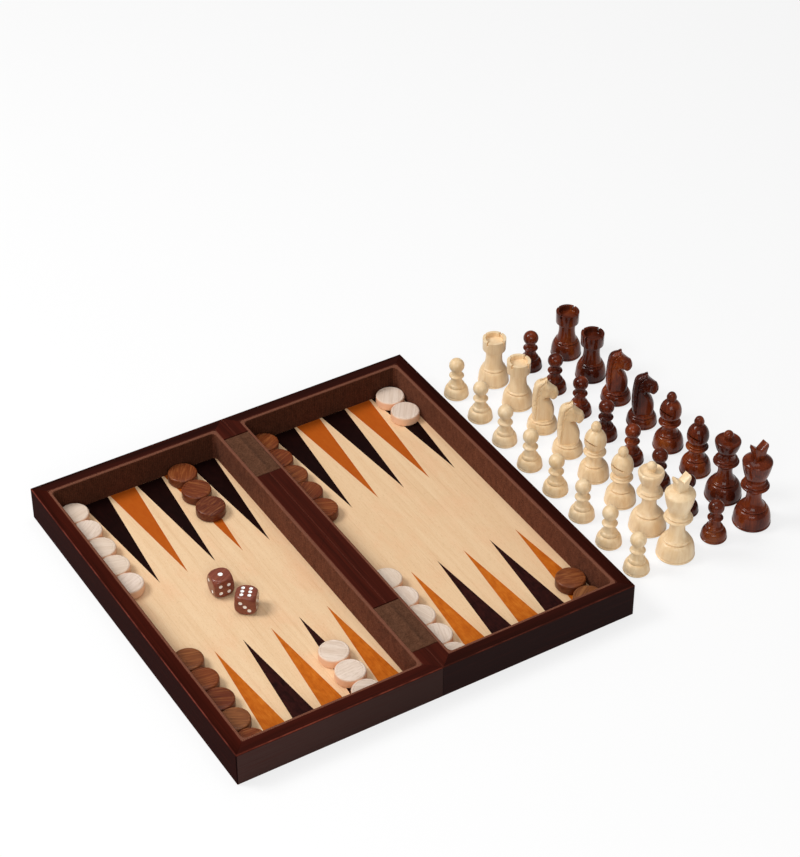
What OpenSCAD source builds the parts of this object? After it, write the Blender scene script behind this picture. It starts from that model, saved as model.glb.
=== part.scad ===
// Folding wooden games box: two hinged trays that open flat. Inside they are a
// backgammon board, outside a chess board, with 30 checkers, 2 dice and 32 chessmen.
// The origin is on the table under the middle of the fold. +X runs across the fold,
// +Y along it to the back, +Z up. The box lies open with its inside up.

/* [Box] */
// Length of the box along the fold
box_length = 348; // [320:1:400]
// Width of the open box across the fold
open_width = 348; // [320:1:400]
// Height of one tray
tray_height = 30; // [26:0.5:40]
// Width of the mitred rails on the three outer sides
rail_width = 10.4; // [10:0.2:14]
// Width of the rails beside the fold
hinge_rail_width = 11.2; // [10.6:0.2:14]
// Gap between the open trays, and between their rims when the box is closed
seam_gap = 0.2; // [0.1:0.05:0.4]
// Radius of the box's outer edges and corners
edge_radius = 1; // [0.5:0.25:2.5]
// Radius of the rim edges beside the fold
seam_radius = 0.5; // [0.2:0.1:1]
// Thickness of the plywood base panel
panel_thickness = 2.4; // [2:0.2:5]
// How far the base panel reaches under the rails
rebate_depth = 5; // [3:0.5:7]
// Thickness of the veneer on either side of the panel
veneer = 0.6; // [0.5:0.1:1]

/* [Chess board] */
// Pitch of the chess squares
square = 38; // [34:0.5:39]
// Width of the pale line around the field
line_width = 3; // [2:0.25:4]
// Chamfer along the outer edge of the border veneer
border_chamfer = 0.4; // [0.2:0.1:0.5]
// Width of the glue line between two pieces of veneer
glue_line = 0.04; // [0.02:0.01:0.1]

/* [Backgammon board] */
// Length of the points
point_length = 116; // [90:1:130]
// Gap between the bases of two neighbouring points
point_gap = 2.2; // [1:0.1:4]
// Thickness of the felt on the walls
felt_thickness = 2.4; // [1:0.1:3]
// How far the wall felt stops below the rim
felt_drop = 0.3; // [0.2:0.1:2]
// Radius of the felt's inside corners
felt_corner = 4; // [1:0.5:6]

/* [Hinges] */
// Distance of each hinge's middle from the middle of the box
hinge_offset = 120; // [80:1:125]
// Length of a hinge leaf and of its barrel
leaf_length = 40; // [30:1:50]
// Reach of a hinge leaf from the fold
leaf_width = 9; // [7:0.5:9.5]
// Thickness of a hinge leaf
leaf_thickness = 0.8; // [0.6:0.1:1.2]
// Outer diameter of the hinge barrel
barrel_d = 2.2; // [2:0.1:3.2]
// Diameter of the hinge pin
pin_d = 1; // [0.8:0.1:1.2]
// Running clearance round the pin in the moving knuckles
pin_clearance = 0.05; // [0.03:0.01:0.08]
// Number of knuckles in one hinge
knuckle_count = 5; // [3:2:7]
// Clearance at both ends of every knuckle
knuckle_clearance = 0.1; // [0.05:0.01:0.2]
// Length of the felt patch over a hinge
patch_length = 57; // [53:1:64]
// Thickness of the felt patch
patch_thickness = 1.1; // [0.8:0.1:1.5]
// How far the patch lies below the rim
patch_drop = 0.1; // [0.05:0.05:0.3]
// Shank diameter of the hinge screws
screw_d = 1.6; // [1.2:0.1:2]
// Head diameter of the hinge screws
screw_head_d = 3.2; // [2.6:0.1:4]
// Length of the hinge screws under their heads
screw_length = 6; // [4:0.5:9]
// Distance between two screws of a leaf
screw_pitch = 13; // [9:0.5:13]

/* [Closure] */
// Diameter of the hidden magnets
magnet_d = 8; // [5:0.5:10]
// Thickness of the hidden magnets
magnet_thickness = 4; // [2:0.5:6]
// Depth of a magnet's middle below the rim
magnet_depth = 7; // [6:0.5:9]
// Distance of each magnet from the middle of the box
magnet_offset = 60; // [30:1:120]

/* [Checkers and dice] */
// Diameter of a checker
checker_d = 24.5; // [20:0.5:26]
// Thickness of a checker
checker_thickness = 8.5; // [6:0.5:10]
// Rounding of a checker's edge
checker_round = 1.6; // [0.8:0.1:2.5]
// Gap between two checkers of a row, and between a checker and the wall
checker_gap = 0.2; // [0.1:0.1:1]
// Edge length of a die
die_size = 17.2; // [16:0.2:18]
// Diameter of the ball that rounds a die's edges and corners
die_ball = 23.8; // [23.4:0.2:26]
// Diameter of a die's pips
pip_d = 3.1; // [2.4:0.1:3.2]
// Diameter of the single pip on the face of one
single_pip_d = 4.1; // [3:0.1:5]
// Distance of the outer pips from the middle of a face
pip_offset = 3.4; // [3.2:0.05:3.6]
// Distance of the six's two rows from the middle of its face
six_row_offset = 3.1; // [3:0.1:3.4]
// Distance of the outer pips in the six's rows from the middle of its face
six_end_offset = 4; // [3.9:0.1:4.2]
// Depth of the inlaid pips
pip_depth = 0.6; // [0.4:0.1:1]

/* [Chessmen] */
// Pitch of the chessmen where they stand beside the box
men_pitch = 38; // [36:0.5:44]
// Free strip of table between the box and the first row of chessmen
men_aisle = 13; // [8:1:40]
// Height of the king without its finial
king_shoulder = 66.5; // [60:0.5:72]
// Height of the king's finial block
finial_height = 13.5; // [8:0.5:16]
// Base diameter of the king
king_base = 31.4; // [28:0.2:33]
// Height of the queen
queen_height = 67.4; // [60:0.2:74]
// Base diameter of the queen
queen_base = 31; // [28:0.2:33]
// Height of a bishop
bishop_height = 56.5; // [50:0.5:62]
// Base diameter of a bishop
bishop_base = 26.4; // [24:0.2:30]
// Height of a knight
knight_height = 53; // [48:0.5:58]
// Base diameter of a knight
knight_base = 26.4; // [24:0.2:30]
// Width across a knight's flat sides
knight_width = 13; // [10:0.5:15]
// Height of a rook
rook_height = 46; // [42:0.5:50]
// Base diameter of a rook
rook_base = 27; // [25:0.2:30]
// Height of a pawn
pawn_height = 38; // [34:0.5:42]
// Base diameter of a pawn
pawn_base = 21.6; // [20:0.2:25]

/* [Hidden] */
$fn = 64;

left = -1;
right = 1;
front = -1;
back = 1;
over = 1;
arc_steps = 5;

half_gap = seam_gap / 2;
half_w = open_width / 2;
half_l = box_length / 2;
inner_lo = half_gap + hinge_rail_width;
inner_hi = half_w - rail_width;
inner_y = half_l - rail_width;
clear_lo = inner_lo + felt_thickness;
clear_hi = inner_hi - felt_thickness;
clear_y = inner_y - felt_thickness;
panel_top = veneer + panel_thickness;
floor_z = panel_top + veneer;
axis_z = tray_height + half_gap;

field_edge = 4 * square;
line_in = field_edge - line_width / 2;
line_out = field_edge + line_width / 2;
point_pitch = (clear_hi - clear_lo) / 6;

patch_z = tray_height - patch_drop - patch_thickness;
leaf_z = patch_z - leaf_thickness;
knuckle = leaf_length / knuckle_count;
barrel_r = barrel_d / 2;
leaf_near = half_gap + 0.15;
notch_x = barrel_r + 0.5;

checker_pitch = checker_d + checker_gap;

wood_dark = [0.2, 0.08, 0.05];
wenge = [0.25, 0.14, 0.11];
maple = [0.93, 0.81, 0.64];
amber = [0.76, 0.39, 0.1];
point_dark = [0.17, 0.07, 0.06];
felt_brown = [0.4, 0.27, 0.22];
brass = [0.75, 0.62, 0.35];
steel = [0.6, 0.6, 0.62];
pale_wood = [0.91, 0.85, 0.78];
brown_wood = [0.42, 0.24, 0.13];
man_light = [0.93, 0.86, 0.71];
man_dark = [0.24, 0.11, 0.06];
pip_white = [0.97, 0.96, 0.94];

function arc(cx, cy, r, a0, a1, n = arc_steps) =
    [for (i = [0:n]) let (a = a0 + (a1 - a0) * i / n) [cx + r * cos(a), cy + r * sin(a)]];

// Points after a up to b on a shallow bow that bulges by s to the right of the way
function bow(a, b, s, n = 6) =
    let (d = b - a, len = norm(d), side = [d.y, -d.x] / len)
    [for (i = [1:n]) let (t = i / n) a + d * t + side * (4 * s * t * (1 - t))];

// The modules of a tray draw the right one, which this mirrors for the left one
module on_side(side) {
    if (side == right) children();
    else mirror([1, 0, 0]) children();
}

module block(x0, x1, y0, y1, z0, z1) {
    translate([x0, y0, z0]) cube([x1 - x0, y1 - y0, z1 - z0]);
}

// Outer form of a tray above its face veneer, rounded at edges and corners
module tray_form() {
    r = edge_radius;
    e = seam_radius;
    h = tray_height;
    intersection() {
        translate([0, 0, veneer]) linear_extrude(h - veneer) tray_plan();
        rotate([90, 0, 0]) translate([0, 0, -half_l]) linear_extrude(box_length)
            polygon(concat([[half_gap, 0], [half_w, 0]], arc(half_w - r, h - r, r, 0, 90),
                arc(half_gap + e, h - e, e, 90, 180)));
        rotate([90, 0, 90]) linear_extrude(half_w)
            polygon(concat([[-half_l, 0], [half_l, 0]], arc(half_l - r, h - r, r, 0, 90),
                arc(-half_l + r, h - r, r, 90, 180)));
    }
}

module tray_plan() {
    r = edge_radius;
    polygon(concat([[half_gap, -half_l]], arc(half_w - r, -half_l + r, r, -90, 0),
        arc(half_w - r, half_l - r, r, 0, 90), [[half_gap, half_l]]));
}

// Plan of one mitred piece between the tray's outline and an inner rectangle
module mitre_plan(piece, x_lo, x_hi, y_hi) {
    if (piece == "front")
        polygon([[half_gap, -half_l], [half_w, -half_l], [x_hi, -y_hi], [x_lo, -y_hi]]);
    if (piece == "back")
        polygon([[half_gap, half_l], [half_w, half_l], [x_hi, y_hi], [x_lo, y_hi]]);
    if (piece == "outer")
        polygon([[half_w, -half_l], [half_w, half_l], [x_hi, y_hi], [x_hi, -y_hi]]);
    if (piece == "hinge")
        polygon([[half_gap, -half_l], [half_gap, half_l], [x_lo, y_hi], [x_lo, -y_hi]]);
}

module rail(piece) {
    difference() {
        intersection() {
            tray_form();
            linear_extrude(tray_height + over) mitre_plan(piece, inner_lo, inner_hi, inner_y);
        }
        block(inner_lo - rebate_depth, inner_hi + rebate_depth, -inner_y - rebate_depth,
            inner_y + rebate_depth, 0, panel_top);
    }
}

module hinge_places() {
    for (place = [front, back]) translate([0, place * hinge_offset, 0]) children();
}

module hinge_rail() {
    difference() {
        rail("hinge");
        hinge_places() {
            block(-over, inner_lo + over, -patch_length / 2, patch_length / 2, patch_z,
                tray_height + over);
            block(-over, leaf_width + 0.1, -leaf_length / 2 - 0.1, leaf_length / 2 + 0.1, leaf_z,
                tray_height + over);
            translate([0, 0, axis_z]) rotate([90, 0, 0])
                cylinder(r = barrel_r + 0.3, h = leaf_length + 0.6, center = true);
            screw_places() translate([0, 0, -screw_length]) cylinder(d = screw_d, h = 2 * screw_length);
        }
    }
}

module outer_rail() {
    difference() {
        rail("outer");
        magnets(over);
    }
}

module magnets(extra = 0) {
    for (place = [front, back])
        translate([inner_hi - extra, place * magnet_offset, tray_height - magnet_depth])
            rotate([0, 90, 0]) cylinder(d = magnet_d, h = magnet_thickness + extra);
}

module base_panel() {
    block(inner_lo - rebate_depth, inner_hi + rebate_depth, -inner_y - rebate_depth,
        inner_y + rebate_depth, veneer, panel_top);
}

// One strip of the striped border on the chess side
module border_strip(piece) {
    c = border_chamfer;
    intersection() {
        difference() {
            linear_extrude(veneer) intersection() {
                tray_plan();
                mitre_plan(piece, half_gap, line_out, line_out);
            }
            block(-over, line_out, -line_out, line_out, -over, veneer + over);
        }
        rotate([90, 0, 0]) translate([0, 0, -half_l]) linear_extrude(box_length)
            polygon([[0, 0], [half_w - c, 0], [half_w, c], [half_w, veneer], [0, veneer]]);
        rotate([90, 0, 90]) linear_extrude(half_w)
            polygon([[-half_l + c, 0], [half_l - c, 0], [half_l, c], [half_l, veneer],
                [-half_l, veneer], [-half_l, c]]);
    }
}

module border_veneer() {
    for (piece = ["front", "back", "outer"]) border_strip(piece);
}

// Three pale strips, mitred at the outer corners
module stringing() {
    strips = [
        [[half_gap, -line_out], [line_out, -line_out], [line_in, -line_in], [half_gap, -line_in]],
        [[half_gap, line_out], [line_out, line_out], [line_in, line_in], [half_gap, line_in]],
        [[line_out, -line_out], [line_out, line_out], [line_in, line_in], [line_in, -line_in]]];
    for (strip = strips) linear_extrude(veneer) polygon(strip);
}

// Squares of one tone: column 0 is at the fold, row 0 at the front
module squares(side, tone) {
    g = glue_line / 2;
    for (column = [0:3], row = [0:7]) {
        across = side == right ? 4 + column : 3 - column;
        if ((across + row) % 2 == tone) {
            x0 = max(column * square, half_gap - g) + g;
            x1 = min((column + 1) * square, line_in + g) - g;
            y0 = max((row - 4) * square, -line_in - g) + g;
            y1 = min((row - 3) * square, line_in + g) - g;
            block(x0, x1, y0, y1, 0, veneer);
        }
    }
}

// Middle of a point in the right tray's own direction, counted from the left
function point_x(side, i) =
    side == right ? clear_lo + point_pitch * (i + 0.5) : clear_hi - point_pitch * (i + 0.5);

module point_plan(side, row, i) {
    half = (point_pitch - point_gap) / 2;
    x = point_x(side, i);
    polygon([[x - half, row * clear_y], [x + half, row * clear_y],
        [x, row * (clear_y - point_length)]]);
}

// Points of one tone: 0 is amber, 1 is dark, and the two rows start with unlike tones
module points(side, tone) {
    for (row = [front, back], i = [0:5])
        if ((i + (row == front ? 1 : 0)) % 2 == tone)
            translate([0, 0, panel_top]) linear_extrude(veneer) point_plan(side, row, i);
}

module playing_field(side) {
    translate([0, 0, panel_top]) linear_extrude(veneer) difference() {
        translate([inner_lo, -inner_y]) square_plan(inner_hi - inner_lo, 2 * inner_y);
        for (row = [front, back], i = [0:5]) point_plan(side, row, i);
    }
}

module square_plan(w, l) {
    polygon([[0, 0], [w, 0], [w, l], [0, l]]);
}

// One strip of felt runs round the inside of a tray
module wall_felt() {
    r = felt_corner;
    x0 = clear_lo;
    x1 = clear_hi;
    y1 = clear_y;
    translate([0, 0, floor_z]) linear_extrude(tray_height - felt_drop - floor_z) difference() {
        translate([inner_lo, -inner_y]) square_plan(inner_hi - inner_lo, 2 * inner_y);
        polygon(concat(arc(x1 - r, -y1 + r, r, -90, 0), arc(x1 - r, y1 - r, r, 0, 90),
            arc(x0 + r, y1 - r, r, 90, 180), arc(x0 + r, -y1 + r, r, 180, 270)));
    }
}

module screw_places() {
    for (i = [-1:1]) translate([leaf_width * 0.6, i * screw_pitch, leaf_z]) children();
}

module screw_head() {
    cylinder(d1 = screw_d, d2 = screw_head_d, h = leaf_thickness);
}

// Knuckles of the left leaf have even numbers, those of the right leaf odd ones
module knuckle_places(side) {
    for (i = [(side == left ? 0 : 1):2:knuckle_count - 1])
        translate([0, -leaf_length / 2 + i * knuckle, 0]) children();
}

module hinge_leaf(side) {
    bore_d = side == left ? pin_d : pin_d + 2 * pin_clearance;
    c = knuckle_clearance;
    difference() {
        union() {
            block(notch_x, leaf_width, -leaf_length / 2, leaf_length / 2, leaf_z, patch_z);
            knuckle_places(side) {
                block(leaf_near, notch_x, c, knuckle - c, leaf_z, patch_z);
                block(leaf_near, barrel_r * 0.85, c, knuckle - c, leaf_z, axis_z);
                translate([0, c, axis_z]) rotate([-90, 0, 0])
                    cylinder(r = barrel_r, h = knuckle - 2 * c);
            }
        }
        translate([0, 0, axis_z]) rotate([90, 0, 0])
            cylinder(d = bore_d, h = leaf_length + 2, center = true);
        screw_places() screw_head();
    }
}

module hinge_pins() {
    color(brass) hinge_places() translate([0, 0, axis_z]) rotate([90, 0, 0])
        cylinder(d = pin_d, h = leaf_length, center = true);
}

module leaf_screws() {
    hinge_places() screw_places() {
        screw_head();
        translate([0, 0, -screw_length]) cylinder(d = screw_d, h = screw_length);
    }
}

module felt_pads() {
    hinge_places()
        block(notch_x, inner_lo, -patch_length / 2, patch_length / 2, patch_z,
            patch_z + patch_thickness);
}

module checker() {
    r = checker_d / 2;
    t = checker_thickness;
    e = checker_round;
    rotate_extrude() polygon(concat([[0, 0], [r - e, 0]], arc(r - e, e, e, -90, 0, 4),
        arc(r - e, t - e, e, 0, 90, 4), [[0, t]]));
}

// A row of checkers on a point, from the wall inwards
module stack(side, row, i, count) {
    room = checker_d / 2 + 0.1;
    x = min(max(point_x(side, i), clear_lo + room), clear_hi - room);
    on_side(side) for (k = [0:count - 1])
        translate([x, row * (clear_y - checker_gap - checker_d / 2 - k * checker_pitch), floor_z])
            checker();
}

// Turns a face's own up direction to the side that carries the given number of pips
module on_face(value) {
    turns = [[0, 0, 0], [0, -90, 0], [-90, 0, 0], [90, 0, 0], [0, 90, 0], [180, 0, 0]];
    rotate(turns[value - 1]) translate([0, 0, die_size / 2]) children();
}

function pips(value) =
    let (p = pip_offset, row = six_row_offset, end = six_end_offset)
    value == 1 ? [[0, 0]] :
    value == 2 ? [[p, p], [-p, -p]] :
    value == 3 ? [[-p, p], [0, 0], [p, -p]] :
    value == 4 ? [[p, p], [p, -p], [-p, p], [-p, -p]] :
    value == 5 ? [[p, p], [p, -p], [-p, p], [-p, -p], [0, 0]] :
    [[row, end], [row, 0], [row, -end], [-row, end], [-row, 0], [-row, -end]];

module pip_solids(extra = 0) {
    for (value = [1:6]) on_face(value) for (spot = pips(value))
        translate([spot.x, spot.y, -pip_depth])
            cylinder(d = value == 1 ? single_pip_d : pip_d, h = pip_depth + extra, $fn = 24);
}

// A cube whose edges and corners are turned down to a ball
module die_body() {
    difference() {
        intersection() {
            cube(die_size, center = true);
            sphere(d = die_ball, $fn = 72);
        }
        pip_solids(over);
    }
}

// The first die shows one pip, the second is turned over and shows six
module place_die(which) {
    middle = (clear_lo + clear_hi) / 2;
    spot = which == 1 ? [-middle - 0.3, 12.3] : [-middle + 7.4, -15.8];
    turn = which == 1 ? -5 : -38;
    flip = which == 1 ? 0 : 180;
    translate([spot.x, spot.y, floor_z + die_size / 2]) rotate([0, 0, turn]) rotate([flip, 0, 0])
        children();
}

// Turned foot of every man: an upright lip, a small groove and a bell
function foot(r, top_r, top) =
    let (lip = 2.1, groove = 0.5, bell = r - 0.3, low = lip + groove)
    concat([[0, 0], [r - 0.5, 0], [r, 0.5], [r, lip], [bell - groove, low]],
        [for (i = [0:7]) let (a = i * 90 / 7)
            [top_r + (bell - top_r) * cos(a), low + 0.4 + (top - low - 0.4) * sin(a)]]);

// A half-round ring from height z to z + h on a turned radius r
function ring(r, z, h) = concat([[r, z]], bow([r, z], [r, z + h], h * 0.45, 4));

module turned(points_list) {
    rotate_extrude() polygon(points_list);
}

module king() {
    s = king_shoulder;
    turned(concat(foot(king_base / 2, 10.8, 15.8), ring(10.5, 15.8, 1.9), [[9.7, 18]],
        bow([9.7, 18], [6.6, 32], -1.6), bow([6.6, 32], [10.3, 36.8], -0.8, 4),
        ring(10.6, 37, 2.6), ring(9.5, 40, 2), [[8.3, 42.6]], bow([8.3, 42.6], [8.5, 46], -0.4, 3),
        bow([8.5, 46], [12.2, s - 5.5], 0.5), bow([12.2, s - 5.5], [11.4, s - 2.8], 0.5, 3),
        bow([11.4, s - 2.8], [4.5, s], 0.5, 4), [[0, s]]));
    intersection() {
        translate([0, 0, s - 1]) cylinder(r = 7.2, h = finial_height + 1);
        rotate([90, 0, 0]) linear_extrude(8, center = true) finial_plan(s);
    }
}

module finial_plan(s) {
    top = s + finial_height;
    polygon([[-4.6, s - 1], [4.6, s - 1], [4.9, s + 3], [7, top - 3], [6.4, top], [0, top - 5.5],
        [-6.4, top], [-7, top - 3], [-4.9, s + 3]]);
}

module queen() {
    ball = 4.1;
    b = queen_height - ball;
    turned(concat(foot(queen_base / 2, 10.2, 15.8), ring(9.9, 15.8, 1.8), [[9.2, 18]],
        bow([9.2, 18], [6.2, 30.4], -1.4), bow([6.2, 30.4], [9.4, 35.3], -0.8, 4),
        ring(9.7, 35.5, 2.5), ring(8.7, 38.4, 1.9), [[7.4, 40.9]],
        bow([7.4, 40.9], [7.2, b - 17.5], -0.4, 3), bow([7.2, b - 17.5], [10.7, b - 7], 0.5),
        bow([10.7, b - 7], [9.3, b - 4.4], 0.6, 4), bow([9.3, b - 4.4], [3.2, b - 4.8], -0.9, 4),
        arc(0, b, ball, -38, 90, 10)));
}

// The mitre has a slanting slot that opens to one side
module bishop() {
    t = bishop_height;
    difference() {
        turned(concat(foot(bishop_base / 2, 8.6, 14), ring(8.3, 14, 1.6), [[7.6, 16]],
            bow([7.6, 16], [5.9, 21.4], -0.5), bow([5.9, 21.4], [8.2, 24.6], -0.6, 4),
            ring(8.5, 24.8, 2.3), ring(7.5, 27.4, 1.7), [[6.2, 29.5]],
            bow([6.2, 29.5], [9.2, t - 18], 1.1), bow([9.2, t - 18], [3.7, t - 8], 1.3),
            bow([3.4, t - 7.6], [3.6, t - 2.6], 0.8, 5), bow([3.6, t - 2.6], [0, t], 0.8, 4)));
        translate([-9.5, 0, t - 16]) rotate([0, 28, 0]) cube([12, 22, 1.2], center = true);
    }
}

module rook() {
    t = rook_height;
    wall = 2.6;
    notch = 1.5;
    difference() {
        turned(concat(foot(rook_base / 2, 9.6, 15), ring(9.3, 15, 1.8), [[8.8, 17.2]],
            bow([8.8, 17.2], [7.4, t - 14.2], -0.9), bow([7.4, t - 14.2], [10, t - 11], -0.7, 5),
            [[10.2, t], [10.2 - wall, t], [10.2 - wall, t - 4.2], [0, t - 4.2]]));
        for (turn = [0, 90]) rotate([0, 0, turn + 20]) translate([0, 0, t - 1.7])
            cube([24, notch, 3.6], center = true);
    }
}

module pawn() {
    ball = 6.6;
    b = pawn_height - ball;
    turned(concat(foot(pawn_base / 2, 7.2, 9.8), [[7, 10.2]], bow([7, 10.2], [6.5, 13], 0.4, 3),
        [[5.7, 13.6]], bow([5.7, 13.6], [4.7, b - 11.8], -0.4, 4), ring(5.4, b - 11.6, 2.4),
        [[4.6, b - 8.8]], arc(0, b, ball, -58, 90, 12)));
}

// Side view of the horse's head and neck above the base, nose to the right
module knight_side(h) {
    polygon(concat([[-8.6, 11.4], [8.4, 11.4]], bow([8.4, 11.4], [6.9, 27.5], 1.9, 5),
        bow([6.9, 27.5], [1.6, h - 19.5], 0.2, 3), [[3.4, h - 19], [8.4, h - 21.8]],
        bow([8.4, h - 21.8], [12.6, h - 17], 0.8, 4), bow([12.6, h - 17], [11, h - 11.5], 0.4, 3),
        bow([11, h - 11.5], [3.2, h - 4.2], -0.5, 4), [[2.6, h], [-0.6, h - 2.4]],
        bow([-0.6, h - 2.4], [-8.4, h - 10], 2, 5), bow([-8.4, h - 10], [-8.6, 11.4], 1.1, 6)));
}

// Front view of the head: widest at the chest, drawn in towards the ears
module knight_front(h) {
    w = knight_width / 2;
    polygon([[-w - 1, 11.4], [w + 1, 11.4], [w, 22], [w * 0.82, h - 20], [w * 0.7, h - 8],
        [w * 0.4, h + 1], [-w * 0.4, h + 1], [-w * 0.7, h - 8], [-w * 0.82, h - 20], [-w, 22]]);
}

module knight() {
    h = knight_height;
    turned(concat(foot(knight_base / 2, 10.2, 9.6), ring(9.9, 9.6, 1.7),
        [[9.2, 11.7], [9.2, 12.6], [0, 12.6]]));
    difference() {
        intersection() {
            rotate([90, 0, 0]) linear_extrude(knight_width + 4, center = true) knight_side(h);
            rotate([90, 0, 90]) linear_extrude(40, center = true) knight_front(h);
        }
        for (side = [-1, 1]) {
            translate([2.6, side * knight_width * 0.42, h - 10]) sphere(r = 1.5, $fn = 20);
            translate([-7.4, side * (knight_width / 2 + 1.4), h / 2]) rotate([0, 0, side * -30])
                cube([9, 2.4, h], center = true);
        }
        translate([-0.8, 0, h - 1]) cube([12, 1.4, 7], center = true);
    }
}

// Column 0 stands next to the box. Row 0 is the row nearest the front
module man_place(column, row) {
    x = half_w + men_aisle + men_pitch * (column + 0.5);
    translate([x, (row - 3.5) * men_pitch, 0]) children();
}

module men(kind, column, rows) {
    for (row = rows) man_place(column, row) {
        if (kind == "king") king();
        if (kind == "queen") queen();
        if (kind == "bishop") bishop();
        if (kind == "knight") rotate([0, 0, -30]) knight();
        if (kind == "rook") rook();
        if (kind == "pawn") pawn();
    }
}

color(wood_dark) on_side(left) rail("front");  // left_front_rail
color(wood_dark) on_side(left) rail("back");  // left_back_rail
color(wood_dark) on_side(left) outer_rail();  // left_outer_rail
color(wood_dark) on_side(left) hinge_rail();  // left_hinge_rail
color(maple) on_side(left) base_panel();  // left_base_panel
color(wenge) on_side(left) border_veneer();  // left_border_veneer
color(maple) on_side(left) stringing();  // left_stringing
color(wenge) on_side(left) squares(left, 0);  // left_dark_squares
color(maple) on_side(left) squares(left, 1);  // left_light_squares
color(maple) on_side(left) playing_field(left);  // left_playing_field
color(point_dark) on_side(left) points(left, 1);  // left_dark_points
color(amber) on_side(left) points(left, 0);  // left_amber_points
color(felt_brown) on_side(left) wall_felt();  // left_wall_felt
color(brass) on_side(left) hinge_places() hinge_leaf(left);  // left_hinge_leaves
hinge_pins();
color(steel) on_side(left) leaf_screws();  // left_leaf_screws
color(felt_brown) on_side(left) felt_pads();  // left_felt_pads
color(steel) on_side(left) magnets();  // left_magnets

color(wood_dark) rail("front");  // right_front_rail
color(wood_dark) rail("back");  // right_back_rail
color(wood_dark) outer_rail();  // right_outer_rail
color(wood_dark) hinge_rail();  // right_hinge_rail
color(maple) base_panel();  // right_base_panel
color(wenge) border_veneer();  // right_border_veneer
color(maple) stringing();  // right_stringing
color(wenge) squares(right, 0);  // right_dark_squares
color(maple) squares(right, 1);  // right_light_squares
color(maple) playing_field(right);  // right_playing_field
color(point_dark) points(right, 1);  // right_dark_points
color(amber) points(right, 0);  // right_amber_points
color(felt_brown) wall_felt();  // right_wall_felt
color(brass) hinge_places() hinge_leaf(right);  // right_hinge_leaves
color(steel) leaf_screws();  // right_leaf_screws
color(felt_brown) felt_pads();  // right_felt_pads
color(steel) magnets();  // right_magnets

color(pale_wood) stack(left, back, 0, 5);  // pale_stack_left_back
color(brown_wood) stack(left, back, 4, 3);  // brown_stack_left_back
color(brown_wood) stack(left, front, 0, 5);  // brown_stack_left_front
color(pale_wood) stack(left, front, 4, 3);  // pale_stack_left_front
color(pale_wood) stack(right, front, 0, 5);  // pale_stack_right_front
color(brown_wood) stack(right, front, 5, 2);  // brown_stack_right_front
color(brown_wood) stack(right, back, 0, 5);  // brown_stack_right_back
color(pale_wood) stack(right, back, 5, 2);  // pale_stack_right_back

color(brown_wood) place_die(1) die_body();  // die_one
color(brown_wood) place_die(2) die_body();  // die_two
color(pip_white) place_die(1) pip_solids();  // die_one_pips
color(pip_white) place_die(2) pip_solids();  // die_two_pips

color(man_light) men("king", 1, [0]);  // light_king
color(man_light) men("queen", 1, [1]);  // light_queen
color(man_light) men("bishop", 1, [2, 3]);  // light_bishops
color(man_light) men("knight", 1, [4, 5]);  // light_knights
color(man_light) men("rook", 1, [6, 7]);  // light_rooks
color(man_light) men("pawn", 0, [0:7]);  // light_pawns
color(man_dark) men("king", 3, [0]);  // dark_king
color(man_dark) men("queen", 3, [1]);  // dark_queen
color(man_dark) men("bishop", 3, [2, 3]);  // dark_bishops
color(man_dark) men("knight", 3, [4, 5]);  // dark_knights
color(man_dark) men("rook", 3, [6, 7]);  // dark_rooks
color(man_dark) men("pawn", 2, [0:7]);  // dark_pawns
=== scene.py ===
# %% [markdown]
# # A folding chess and backgammon box
#
# This lesson dresses a wooden games box. The box lies open, with its backgammon side up.
# Its rails, veneers and hinges come from a CAD model as fixed meshes. They only need good
# finishes here. The felt, the checkers, the dice and the chessmen are rounder or softer
# than CAD solids, so they are made again in Blender, in the same places.

import math
import random

import bmesh
import bpy
import numpy as np
from mathutils import Matrix, Vector, noise
from mathutils.geometry import delaunay_2d_cdt


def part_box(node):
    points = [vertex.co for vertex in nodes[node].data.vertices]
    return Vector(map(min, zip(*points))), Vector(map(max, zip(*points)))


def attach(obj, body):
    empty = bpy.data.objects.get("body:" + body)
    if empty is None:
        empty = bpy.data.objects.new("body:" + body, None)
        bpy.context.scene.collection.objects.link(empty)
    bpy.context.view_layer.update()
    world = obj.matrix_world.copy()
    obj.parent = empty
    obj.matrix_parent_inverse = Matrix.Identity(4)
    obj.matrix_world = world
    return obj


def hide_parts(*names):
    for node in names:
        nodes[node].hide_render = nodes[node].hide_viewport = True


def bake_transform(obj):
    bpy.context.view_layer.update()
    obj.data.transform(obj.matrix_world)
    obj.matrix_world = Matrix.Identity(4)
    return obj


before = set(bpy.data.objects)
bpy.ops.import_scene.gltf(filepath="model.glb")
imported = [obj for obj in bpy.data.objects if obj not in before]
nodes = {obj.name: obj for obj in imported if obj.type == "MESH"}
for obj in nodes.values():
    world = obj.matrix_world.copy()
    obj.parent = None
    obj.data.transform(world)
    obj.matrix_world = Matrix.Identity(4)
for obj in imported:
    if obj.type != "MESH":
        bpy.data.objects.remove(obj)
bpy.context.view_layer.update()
MM = 0.001

# %% [markdown]
# ## The camera
#
# The photograph was taken from the front left, about 38 degrees above the table, with a
# long lens. A long lens keeps the box's far edges nearly as long as the near ones. The
# numbers below were fitted to the box's edges, corners and fold.

# %% Aim the camera
AZIMUTH, ELEVATION, ROLL = math.radians(-31.2789), math.radians(38.3936), math.radians(-0.0386)
aim_point = Vector((0.139924, 0.117821, 0.0))
distance = 2.113655

to_camera = Vector((math.sin(AZIMUTH) * math.cos(ELEVATION),
                    -math.cos(AZIMUTH) * math.cos(ELEVATION), math.sin(ELEVATION)))
level = (-to_camera).cross(Vector((0, 0, 1))).normalized()
upward = to_camera.cross(level)
side = level * math.cos(ROLL) + upward * math.sin(ROLL)
up = upward * math.cos(ROLL) - level * math.sin(ROLL)

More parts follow.
